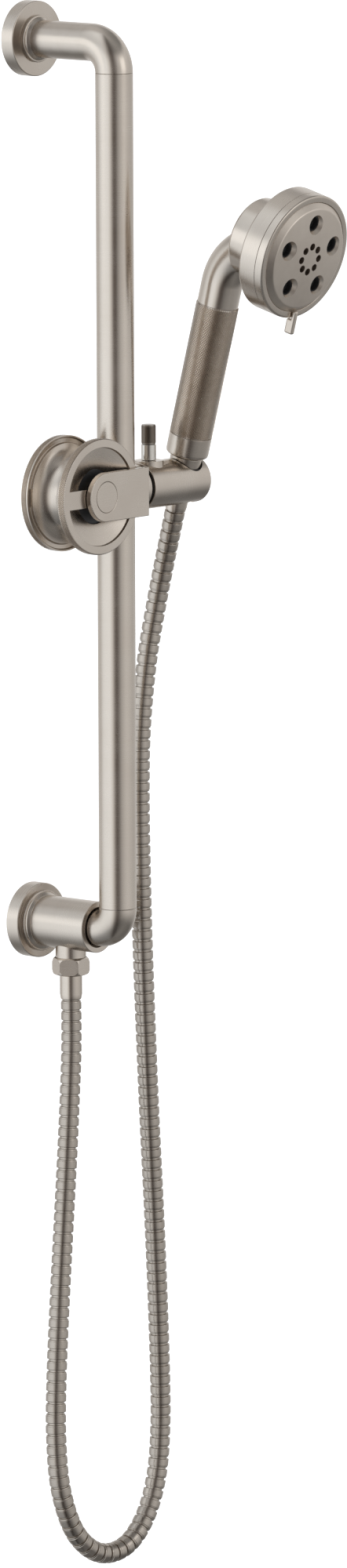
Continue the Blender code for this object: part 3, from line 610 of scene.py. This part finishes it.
outlet_axis = aim((0, 0, OUTLET_LEVEL), (0, -1, 0))
port_axis = aim((0, OUTLET_Y, OUTLET_LEVEL), (0, 0, -1))
sleeve = turned("outlet_sleeve", [(WATERWAY, 0), (PIPE_RADIUS, 0), (PIPE_RADIUS, SLEEVE_START),
                                  (SLEEVE_RADIUS, SLEEVE_START, 0.6), (SLEEVE_RADIUS, SLEEVE_END, 0.5),
                                  (SLEEVE_BORE, SLEEVE_END, 0.4), (SLEEVE_BORE, SLEEVE_FLOOR),
                                  (WATERWAY, SLEEVE_FLOOR)], outlet_axis, lathe_nickel, 128)
cut(sleeve, turned("port", [(0, PORT_START), (PORT_RADIUS, PORT_START), (PORT_RADIUS, PORT_END),
                            (0, PORT_END)], port_axis, lathe_nickel), "UNION")
cut(sleeve, turned("drill", [(0, 0), (5.5, 0), (5.5, 40), (0, 40)], port_axis, lathe_nickel, 48))
fit(sleeve, "root", "outlet_body")
white_plastic = plain("white_plastic", (0.82, 0.82, 0.79), 0.42, 0.0)
brass = plain("raw_brass", (0.74, 0.55, 0.27), 0.30, 1.0)
rubber = plain("black_rubber", (0.012, 0.012, 0.012), 0.62, 0.0, 0.25)
for node, material in (("check_valve", white_plastic), ("inlet_filter", steel), ("bore_plug", brass),
                       ("hose_washer_lower", rubber), ("hose_washer_upper", rubber)):
    paint(node, material)

# ---- Hose nut and lower ferrule ----
# A chamfered brass nut with six sides, screwed on under the port and loose on the ferrule below it.
# The ferrule is a turned sleeve in the same finish, crimped round the hose's end.

NUT_TOP, NUT_LOW = 22.4, 34.9
NUT_CORNER, NUT_TURN = 13.0, 57
NUT_BORE, NUT_SHOULDER = 10.75, 1.8


def extruded(name, outline, depth, place, material):
    """An outline in the local XY plane, extruded along +Z."""
    shape = bmesh.new()
    face = shape.faces.new([shape.verts.new((x * MM, y * MM, 0)) for x, y in outline])
    grown = bmesh.ops.extrude_face_region(shape, geom=[face])
    raised = [part for part in grown["geom"] if isinstance(part, bmesh.types.BMVert)]
    bmesh.ops.translate(shape, verts=raised, vec=(0, 0, depth * MM))
    return finished(shape, name, place, material)


nut_place = port_axis @ Matrix.Translation((0, 0, NUT_TOP * MM))
nut_length = NUT_LOW - NUT_TOP
corner_angles = [math.radians(60 * side + NUT_TURN) for side in range(6)]
hexagon = [(NUT_CORNER * math.cos(angle), NUT_CORNER * math.sin(angle)) for angle in corner_angles]
nut = extruded("hexagon_nut", hexagon, nut_length, nut_place, lathe_nickel)
cut(nut, turned("crown", [(0, -0.01), (10.4, -0.01, 0.2), (12.0, 1.3), (12.9, 3.8), (12.9, 9.3),
                          (12.0, 11.6), (10.0, nut_length + 0.01, 0.2), (0, nut_length + 0.01)],
                nut_place, lathe_nickel), "INTERSECT")
cut(nut, turned("bore", [(0, -1), (NUT_BORE, -1), (NUT_BORE, nut_length - NUT_SHOULDER),
                         (6.4, nut_length - NUT_SHOULDER), (6.4, 20), (0, 20)], nut_place, lathe_nickel))
fit(nut, "root", "hose_nut_lower")
ferrule = turned("crimped_ferrule", [(4.5, 31.0), (9.4, 31.0), (9.4, 32.4), (6.0, 32.4), (6.0, 35.2),
                                     (7.6, 35.2, 0.3), (7.6, 48.1), (6.9, 51.8, 0.6), (4.5, 51.8)],
                 port_axis, lathe_nickel)
fit(ferrule, "root", "hose_ferrule_lower")

# ---- Yoke plates and axle ----
# Two flat cheeks cut from thick brass plate, round at the wheel's end and square at the bar, with
# softened edges. The axle's two heads lie flush in them, so only a fine circle shows.

YOKE_FACE, YOKE_THICK, YOKE_HALF = 23.8, 4.1, 16.5
YOKE_END = 6.6
AXLE_HEAD, AXLE_RADIUS = 10.4, 5.0
WHEEL_X = middle("pulley_wheel").x
carriage_place = Matrix.Translation(Vector((BAR_AXIS.x, BAR_AXIS.y, CARRIAGE_LEVEL)) * MM)


def soften(item, width, segments=3, angle=40):
    """Round a piece's hard edges with a bevel, and keep the wide faces evenly shaded."""
    bevel = item.modifiers.new("softened edges", "BEVEL")
    bevel.width = width * MM
    bevel.segments = segments
    bevel.limit_method = "ANGLE"
    bevel.angle_limit = math.radians(angle)
    item.modifiers.move(item.modifiers.find("softened edges"), 0)
    item.data.shade_smooth()


plate_nickel = satin_nickel("plate_nickel", (70, 2400, 70))
count = 48
plate_outline = [(YOKE_HALF * math.cos(math.radians(90 + 180 * step / count)) + WHEEL_X,
                  YOKE_HALF * math.sin(math.radians(90 + 180 * step / count)))
                 for step in range(count + 1)]
plate_outline += [(YOKE_END, -YOKE_HALF), (YOKE_END, YOKE_HALF)]
for word, near in (("front", YOKE_THICK - YOKE_FACE), ("rear", YOKE_FACE)):
    flat = carriage_place @ Matrix.Translation((0, near * MM, 0)) @ Matrix.Rotation(math.pi / 2, 4, "X")
    plate = extruded("yoke_cheek_" + word, plate_outline, YOKE_THICK, flat, plate_nickel)
    cut(plate, turned("hole", [(0, -1), (AXLE_HEAD + 0.1, -1), (AXLE_HEAD + 0.1, 6), (0, 6)],
                      flat @ Matrix.Translation((WHEEL_X * MM, 0, 0)), plate_nickel))
    soften(plate, 0.45)
    fit(plate, "carriage", "yoke_plate_" + word)
axle_place = carriage_place @ aim((WHEEL_X, 0, 0), (0, -1, 0))
inner_face = YOKE_FACE - YOKE_THICK
pin = turned("axle", [(0, -inner_face + GAP), (AXLE_RADIUS, -inner_face + GAP), (AXLE_RADIUS, inner_face),
                      (AXLE_HEAD, inner_face), (AXLE_HEAD, YOKE_FACE, 0.25), (0, YOKE_FACE)],
             axle_place, plate_nickel)
fit(pin, "carriage", "axle_pin")
cap = turned("axle_screw", [(0, -YOKE_FACE), (AXLE_HEAD, -YOKE_FACE, 0.25), (AXLE_HEAD, -inner_face),
                            (0, -inner_face)], axle_place, plate_nickel)
fit(cap, "carriage", "axle_cap")
black_plastic = plain("black_plastic", (0.02, 0.02, 0.021), 0.45, 0.0)
for node in ("axle_bush_front", "axle_bush_rear"):
    paint(node, black_plastic)

# ---- Slider ----
# One casting that rides the bar: a half collar, lugs between the cheeks and a round boss with the
# barrel's spigot. A black plastic liner inside it keeps the bar from being scratched.

COLLAR_HALF, COLLAR_BORE, COLLAR_RADIUS = 17.2, 15.9, 18.0
LINER_HALF, LINER_RADIUS = 16.5, 15.5
BOSS_RADIUS, SPIGOT_RADIUS, SPIGOT_END = 15.4, 7.8, 47.0


def half_round(name, outline, keep_from, material):
    """The part of a ring about the bar that lies beyond keep_from along X."""
    item = turned(name, outline, carriage_place, material, 128, 0.6)
    block = [(-40, -40), (keep_from, -40), (keep_from, 40), (-40, 40)]
    return cut(item, extruded("block", block, 80, carriage_place @ aim((0, 0, -40), (0, 0, 1)), material))


slider = half_round("slider_casting", [(COLLAR_BORE, -COLLAR_HALF), (COLLAR_RADIUS, -COLLAR_HALF, 0.6),
                                       (COLLAR_RADIUS, COLLAR_HALF, 0.6), (COLLAR_BORE, COLLAR_HALF)],
                    3.0, lathe_nickel)
lug = [(3.4, -19.4), (10.2, -19.4), (10.2, 19.4), (3.4, 19.4)]
along_barrel = carriage_place @ aim((0, 0, 0), (1, 0, 0))
cut(slider, extruded("lugs", lug, 30, carriage_place @ Matrix.Translation((0, 0, -15 * MM)),
                     lathe_nickel), "UNION")
cut(slider, turned("boss", [(0, 4), (BOSS_RADIUS, 4), (BOSS_RADIUS, 20.2, 0.9), (11.2, 20.2),
                            (11.2, 25.0), (SPIGOT_RADIUS, 25.0), (SPIGOT_RADIUS, SPIGOT_END),
                            (0, SPIGOT_END)], along_barrel, lathe_nickel), "UNION")
cut(slider, turned("bore", [(0, -30), (15.8, -30), (15.8, 30), (0, 30)], carriage_place,
                   lathe_nickel, 128))
fit(slider, "carriage", "slider_body")
liner = half_round("bar_liner", [(BAR_RADIUS + GAP, -LINER_HALF), (LINER_RADIUS, -LINER_HALF),
                                 (LINER_RADIUS, LINER_HALF), (BAR_RADIUS + GAP, LINER_HALF)],
                   3.6, black_plastic)
fit(liner, "carriage", "guide_bush", slot="black_plastic")

# ---- Pulley wheel ----
# A turned brass wheel, grooved for the bar, with a band of diamond knurling cut round each rim. A
# flat spoke crosses each dished face, flush with the rim, and ends at the hub. A black ring of
# painted shade fills the gap between the hub and the dish, where it lies in shadow.

WHEEL_RADIUS, WHEEL_HALF = 39.2, 19.1
RIM_RADIUS, DISH_RADIUS = 38.5, 33.3
WHEEL_HUB_BORE, WHEEL_HUB_RADIUS, WHEEL_HUB_HALF = 7.1, 10.0, 16.8
DISH_BORE, SHADOW_WEB_HALF = 18.6, 12.6
SPOKE_HALF = 6.15
GROOVE_RADIUS, GROOVE_HALF = 13.4, 12.4
KNURL_FLAT = 0.46


def knurled(name, radius, depth, low, high, inner, around, rows, place, material, end=0.0):
    """A ring with diamond knurling: flat-topped pyramids between two crossing sets of grooves."""
    shape = bmesh.new()

    def spot(column, row, out):
        angle = math.pi * column / around
        return Vector((out * math.cos(angle), out * math.sin(angle), low + (high - low) * row / rows)) * MM

    corners = {}

    def corner(column, row):
        key = (column % (2 * around), row)
        if key not in corners:
            corners[key] = shape.verts.new(spot(column, row, radius - depth))
        return corners[key]

    for row in range(rows + 1):
        for column in range(2 * around):
            if (column + row) % 2 == 0:
                continue
            left, right = (column - 1, row), (column + 1, row)
            below, above = (column, row - 1), (column, row + 1)
            if row in (0, rows):
                third = above if row == 0 else below
                shape.faces.new([corner(*left), corner(*right), corner(*third)])
                continue
            base = [left, below, right, above]
            crown = [shape.verts.new(spot(column + (across - column) * KNURL_FLAT,
                                          row + (level - row) * KNURL_FLAT, radius))
                     for across, level in base]
            for step in range(4):
                after = (step + 1) % 4
                shape.faces.new([corner(*base[step]), corner(*base[after]), crown[after], crown[step]])
            shape.faces.new(crown)
    skins = [[corner(2 * step, rows) for step in range(around)]]
    for out, level in ((inner, high + end), (inner, low - end)):
        skins.append([shape.verts.new(Vector((out * math.cos(math.tau * step / around),
                                              out * math.sin(math.tau * step / around), level)) * MM)
                      for step in range(around)])
    skins.append([corner(2 * step, 0) for step in range(around)])
    for here, there in zip(skins, skins[1:]):
        for step in range(around):
            after = (step + 1) % around
            shape.faces.new([here[step], here[after], there[after], there[step]])
    return finished(shape, name, place, material, 28)


groove = []
count = 24
for step in range(count + 1):
    side = -GROOVE_HALF + 2 * GROOVE_HALF * step / count
    groove.append((-WHEEL_X - math.sqrt(GROOVE_RADIUS ** 2 - side ** 2), side, 0))
dish = [(RIM_RADIUS, WHEEL_HALF), (DISH_RADIUS, WHEEL_HALF), (33.1, 17.3, 0.2), (DISH_BORE, 13.4)]
front_rim = [(33.4, 12.9), (38.0, 13.0), (RIM_RADIUS, 13.5), *dish]
rear_rim = [(34.0, 12.95, 0.2), (34.5, 14.5, 0.4), (37.6, 14.5, 0.4), (38.1, 13.0, 0.2),
            (WHEEL_RADIUS, 13.0, 0.2), (WHEEL_RADIUS, 14.2, 0.1), (RIM_RADIUS, 14.2, 0.1), *dish]
wheel_outline = groove + front_rim + [(corner[0], -corner[1], *corner[2:]) for corner in reversed(rear_rim)]
wheel_core = turned("wheel_core", wheel_outline, axle_place, lathe_nickel, 144, 0.25)
hub = [(WHEEL_HUB_BORE, -WHEEL_HUB_HALF), (WHEEL_HUB_RADIUS, -WHEEL_HUB_HALF),
       (WHEEL_HUB_RADIUS, WHEEL_HUB_HALF), (WHEEL_HUB_BORE, WHEEL_HUB_HALF)]
for side in (-1, 1):
    for face in (-1, 1):
        for near, far, low, high in ((9.0, 19.6, 8.0, WHEEL_HALF), (19.0, 35.0, 13.0, WHEEL_HALF)):
            spoke = [(side * near, -SPOKE_HALF), (side * far, -SPOKE_HALF),
                     (side * far, SPOKE_HALF), (side * near, SPOKE_HALF)]
            base = axle_place @ Matrix.Translation((0, 0, min(face * low, face * high) * MM))
            cut(wheel_core, extruded("spoke", spoke, high - low, base, lathe_nickel), "UNION")
cut(wheel_core, turned("hub", hub, axle_place, lathe_nickel), "UNION")
fit(wheel_core, "wheel", "pulley_wheel")
# The knurls' nickel is lightened a little, to 1.04: painted light
knurl_nickel_painted_light = satin_nickel("knurl_nickel_painted_light", (200, 200, 200), 0.24, 1.04)
for word, low, high in (("front", 13.4, 19.0), ("rear", -19.0, -14.3)):
    band = knurled("wheel_knurl_" + word, WHEEL_RADIUS, 0.6, low, high, 38.0, 190, 8, axle_place,
                   knurl_nickel_painted_light)
    fit(band, "wheel")
# Painted shade: a black ring standing for the shadow in the gap between the hub and the dish
shadow_web_in, shadow_web_out = WHEEL_HUB_RADIUS + 0.1, DISH_BORE - 0.05
shadow_web = turned("wheel_shadow_web", [(shadow_web_in, -SHADOW_WEB_HALF), (shadow_web_out, -SHADOW_WEB_HALF), (shadow_web_out, SHADOW_WEB_HALF),
                           (shadow_web_in, SHADOW_WEB_HALF)], axle_place, black_plastic)
fit(shadow_web, "wheel", slot="black_plastic")

# ---- Barrel holder ----
# A short bar turned on the slider's spigot, with a tapered socket through it for the handset and a
# round land on top for the lock. A screw and a washer inside give it the friction that holds it.

BARREL_RADIUS, BARREL_START, BARREL_END = 15.9, 22.6, 81.2
LAND_RADIUS, LAND_START, LAND_TOP = 10.1, 6, 16.8
LOCK_X = middle("lock_guide").x
lock_place = Matrix.Translation(Vector((LOCK_X, BAR_AXIS.y, CARRIAGE_LEVEL)) * MM)

barrel = turned("barrel", [(0, BARREL_START), (BARREL_RADIUS, BARREL_START, 0.5),
                           (BARREL_RADIUS, BARREL_END, 1.4), (0, BARREL_END)],
                along_barrel, lathe_nickel, 128)
cut(barrel, turned("land", [(0, LAND_START), (LAND_RADIUS, LAND_START), (LAND_RADIUS, LAND_TOP, 0.4),
                            (0, LAND_TOP)], lock_place, lathe_nickel), "UNION")
cut(barrel, turned("chamber", [(0, 20), (11.8, 20), (11.8, 25.3), (8.1, 25.3), (8.1, 53.5), (0, 53.5)],
                   along_barrel, lathe_nickel))
cut(barrel, turned("socket", [(0, -30), (10.6, -30), (12.4, 30), (0, 30)], handset_place, lathe_nickel))
cut(barrel, turned("lock_bore", [(0, 0), (2.4, 0), (2.4, 30), (0, 30)], lock_place, lathe_nickel, 32))
fit(barrel, "holder", "holder_barrel")
socket_liner = turned("socket_bush", [(9.6, -11.8), (10.4, -11.8), (11.65, 11.2), (10.95, 11.2)],
                      handset_place, black_plastic, 96, 0.1)
fit(socket_liner, "holder", "socket_liner", slot="black_plastic")
for node, material in (("friction_washer", white_plastic), ("pivot_screw", steel), ("barrel_seal", rubber)):
    paint(node, material)

# ---- Barrel lock ----
# A polished guide with a steel plunger in it and a small knurled cap to pull, held down by a
# spring. Pulled up, it frees the barrel to turn.

GUIDE_BORE, GUIDE_RADIUS, GUIDE_START, GUIDE_TOP = 4.2, 5.0, 17.1, 27.6
CAP_RADIUS, CAP_NECK, CAP_START, CAP_TOP = 4.7, 4.3, 27.9, 41.1
polished = plain("polished_nickel", (0.72, 0.69, 0.64), 0.09, 1.0, 0.03)
guide = turned("lock_sleeve", [(GUIDE_BORE, GUIDE_START), (GUIDE_RADIUS, GUIDE_START),
                               (GUIDE_RADIUS, GUIDE_TOP), (GUIDE_BORE, GUIDE_TOP)],
               lock_place, polished, 96, 0.25)
fit(guide, "holder", "lock_guide", slot="polished")
paint("lock_plunger", steel)
# The cap's nickel is darkened to 0.6: painted shade on the cap and its knurl
cap_nickel_painted_shade = satin_nickel("cap_nickel_painted_shade", (200, 200, 200), 0.30, 0.6)
lock_cap = turned("lock_button", [(0, 30.3), (1.9, 30.3), (1.9, CAP_START), (CAP_RADIUS, CAP_START),
                                  (CAP_RADIUS, 28.5, 0.05), (CAP_NECK, 28.5, 0.05),
                                  (CAP_NECK, 40.5, 0.05), (CAP_RADIUS, 40.5, 0.05),
                                  (CAP_RADIUS, CAP_TOP, 0.4), (0, CAP_TOP)], lock_place, cap_nickel_painted_shade, 72, 0.2)
fit(lock_cap, "plunger", "lock_cap")
fit(knurled("lock_knurl", 4.9, 0.3, 28.6, 40.4, 4.2, 38, 26, lock_place, cap_nickel_painted_shade), "plunger")

# ---- Hose end in the holder ----
# A conical nut of plated brass, turned and screwed onto the handset, which drops into the socket.
# Below it the hose ends in a ferrule crimped round it.

cone = turned("cone_fitting", [(7.8, -13.0), (9.3, -13.0, 0.5), (10.9, 18.0, 0.5), (7.8, 18.0)],
              handset_place, lathe_nickel)
fit(cone, "handset", "cone_nut")
upper_ferrule = turned("upper_ferrule", [(4.5, -21.2), (6.9, -21.2), (7.4, -18.0), (7.4, 4.0), (7.0, 5.7),
                                         (4.5, 5.7)], handset_place, lathe_nickel)
fit(upper_ferrule, "handset", "hose_ferrule_upper")

# ---- Handle ----
# A smooth collar, then a brass grip with deep diamond knurling. Inside run the inlet nipple, the
# flow regulator and a plastic water tube with its seal.

GRIP_RADIUS, GRIP_BORE = 14.5, 11.2
COLLAR_START, COLLAR_TOP, GRIP_END = 18.7, 33.2, 126.4

collar = turned("handle_collar", [(GRIP_BORE, COLLAR_START), (13.0, COLLAR_START, 0.4), (14.2, 19.7, 0.5),
                                  (GRIP_RADIUS, 21.5, 0.5), (GRIP_RADIUS, COLLAR_TOP),
                                  (GRIP_BORE, COLLAR_TOP)], handset_place, lathe_nickel)
fit(collar, "handset", "grip_collar")
grip = knurled("handle_grip", GRIP_RADIUS, 0.62, COLLAR_TOP + 0.1, GRIP_END, GRIP_BORE, 58, 90,
               handset_place, knurl_nickel_painted_light)
fit(grip, "handset", "knurled_grip")
for node, material in (("inlet_nipple", brass), ("flow_regulator", white_plastic),
                       ("water_tube", white_plastic), ("tube_seal", rubber)):
    paint(node, material)

# ---- Neck and hub ----
# A hollow brass casting that bends forward from the grip into the round hub behind the spray head,
# ground smooth and plated.

HEAD_HEIGHT = 181.4
HUB_BACK, HUB_FRONT, HUB_RADIUS = 19.5, 43.1, 27.5
NECK_RADIUS, NECK_BEND, NECK_TURN = 14.0, 36.0, 62
face_place = handset_place @ aim((0, 0, HEAD_HEIGHT), (0, -1, 0))

across = Vector((1, 0, 0))
neck_points = [Vector((0, 0, GRIP_END + 0.1)), Vector((0, 0, GRIP_END + 0.4))]
neck_frames = [(across, Vector((0, 1, 0)))] * 2
count = 26
for step in range(count + 1):
    angle = math.radians(NECK_TURN) * step / count
    neck_points.append(Vector((0, -NECK_BEND + NECK_BEND * math.cos(angle),
                               HEAD_HEIGHT - 4.0 - NECK_BEND + NECK_BEND * math.sin(angle))))
    neck_frames.append((across, Vector((0, math.cos(angle), math.sin(angle)))))
ahead = Vector((0, -math.sin(math.radians(NECK_TURN)), math.cos(math.radians(NECK_TURN))))
neck_points.append(neck_points[-1] + 10.0 * ahead)
neck_frames.append(neck_frames[-1])
cast_nickel = satin_nickel("cast_nickel", (160, 160, 160), 0.21)
neck = swept("neck_casting", neck_points, neck_frames,
             [NECK_RADIUS - 0.2] + [NECK_RADIUS] * (len(neck_points) - 1), handset_place, cast_nickel)
cut(neck, turned("hub", [(0, HUB_BACK), (HUB_RADIUS, HUB_BACK, 1.8), (HUB_RADIUS, HUB_FRONT, 0.3),
                         (0, HUB_FRONT)], face_place, cast_nickel, 128), "UNION")
cut(neck, turned("bore", [(0, 120), (GRIP_BORE, 120), (GRIP_BORE, 158), (0, 158)], handset_place,
                 cast_nickel, 64))
fit(neck, "handset", "neck_and_hub")

# ---- Spray head ----
# A turned shell and a face ring screwed to it, with a fine seam between them. The manifold, the
# face seal and the selector's brass spindle are inside.

HEAD_RADIUS, HEAD_BACK, SEAM, HEAD_FRONT = 43.3, 43.4, 57.6, 64.2
SHELL_HOLE, SHELL_INSIDE, SHELL_FLOOR = 9.5, 40.0, 3
RING_BORE = 38.5

shell = turned("head_body", [(SHELL_HOLE, HEAD_BACK), (HEAD_RADIUS, HEAD_BACK, 1.7),
                             (HEAD_RADIUS, SEAM, 0.25), (SHELL_INSIDE, SEAM),
                             (SHELL_INSIDE, HEAD_BACK + SHELL_FLOOR), (SHELL_HOLE, HEAD_BACK + SHELL_FLOOR)],
               face_place, lathe_nickel, 144)
fit(shell, "handset", "head_shell")
rim = turned("head_rim", [(RING_BORE, SEAM + 0.2), (HEAD_RADIUS, SEAM + 0.2, 0.25),
                          (HEAD_RADIUS, HEAD_FRONT, 1.6), (RING_BORE, HEAD_FRONT, 0.4)],
             face_place, lathe_nickel, 144)
fit(rim, "handset", "face_ring")
for node, material in (("spray_manifold", white_plastic), ("face_seal", rubber),
                       ("selector_spindle", brass)):
    paint(node, material)

# ---- Spray plate, nozzles and selector lever ----
# A domed plate with a sloped edge that turns in the face ring. Five conical recesses show the tips
# of a black rubber mat and eight small holes stand round the middle. A slim lever turns it.

PLATE_EDGE, PLATE_LAND, PLATE_DOME = 38.4, 34.9, 5.0
PLATE_RISE = 1.8
LARGE_CIRCLE, SMALL_CIRCLE = 24.3, 8.8
SMALL_HOLE, MAT_RADIUS = 2.5, 37.0
LEVER_HALF, LEVER_ROOT, LEVER_TIP = 1.9, 37.6, 54.1

# The spray face's nickel is lightened to 1.12: painted light, shared by the lever
plate_metal_painted_light = satin_nickel("face_nickel_painted_light", (180, 180, 180), 0.38, 1.12)
dome = [(PLATE_LAND * part, HEAD_FRONT + PLATE_DOME - PLATE_RISE * part ** 2, 0)
        for part in (0.96, 0.88, 0.78, 0.66, 0.54, 0.42, 0.30, 0.18, 0.08)]
plate = turned("spray_face", [(0, HEAD_FRONT - 3), (PLATE_EDGE, HEAD_FRONT - 3),
                              (PLATE_EDGE, HEAD_FRONT - 0.3, 0.2),
                              (PLATE_LAND, HEAD_FRONT + PLATE_DOME - PLATE_RISE, 1.1), *dome,
                              (0, HEAD_FRONT + PLATE_DOME)], face_place, plate_metal_painted_light, 144)
mat_back, mat_front = HEAD_FRONT - 6.6, HEAD_FRONT - 3.3
mat = turned("rubber_nozzles", [(0, mat_back), (MAT_RADIUS, mat_back), (MAT_RADIUS, mat_front),
                                (0, mat_front)], face_place, rubber)
for count, circle in ((5, LARGE_CIRCLE), (8, SMALL_CIRCLE)):
    for turn in range(count):
        angle = math.tau * (0.25 + turn / count)
        spot = face_place @ Matrix.Translation(Vector((circle * math.cos(angle),
                                                       circle * math.sin(angle), 0)) * MM)
        if circle == LARGE_CIRCLE:
            recess = [(0, HEAD_FRONT - 4), (5.2, HEAD_FRONT - 4), (5.2, HEAD_FRONT + 1.6, 0.3),
                      (6.9, HEAD_FRONT + 4.2, 0.8), (9.5, HEAD_FRONT + 7), (0, HEAD_FRONT + 7)]
            cut(plate, turned("recess", recess, spot, plate_metal_painted_light, 64))
            teat = [(0, mat_back + 1), (5.1, mat_back + 1), (5.1, HEAD_FRONT + 1.4, 0.2),
                    (4.5, HEAD_FRONT + 1.4, 0.2), (4.2, HEAD_FRONT - 2.4), (1.7, HEAD_FRONT - 2.4),
                    (1.4, HEAD_FRONT - 1.2, 0.3), (0, HEAD_FRONT - 1.2)]
            cut(mat, turned("teat", teat, spot, rubber, 48), "UNION")
        else:
            hole = [(0, HEAD_FRONT - 4), (SMALL_HOLE, HEAD_FRONT - 4), (SMALL_HOLE, HEAD_FRONT + 7),
                    (0, HEAD_FRONT + 7)]
            cut(plate, turned("hole", hole, spot, plate_metal_painted_light, 40))
fit(plate, "selector", "spray_plate")
fit(mat, "selector", "nozzle_mat", slot="rubber")
lever_outline = [(HEAD_FRONT + 3.4, LEVER_ROOT), (HEAD_FRONT + 3.4, LEVER_TIP),
                 (HEAD_FRONT - 3.4, LEVER_TIP), (HEAD_FRONT - 3.4, HEAD_RADIUS + 0.6),
                 (HEAD_FRONT + GAP, HEAD_RADIUS + 0.6), (HEAD_FRONT + GAP, LEVER_ROOT)]
# The outline's first number runs out of the face and its second one down it
lever_place = face_place @ Matrix(((0, 0, 1, -LEVER_HALF * MM), (0, -1, 0, 0), (1, 0, 0, 0), (0, 0, 0, 1)))
lever = extruded("lever", lever_outline, 2 * LEVER_HALF, lever_place, plate_metal_painted_light)
soften(lever, 1.3, 4, 30)
fit(lever, "selector", "selector_lever")
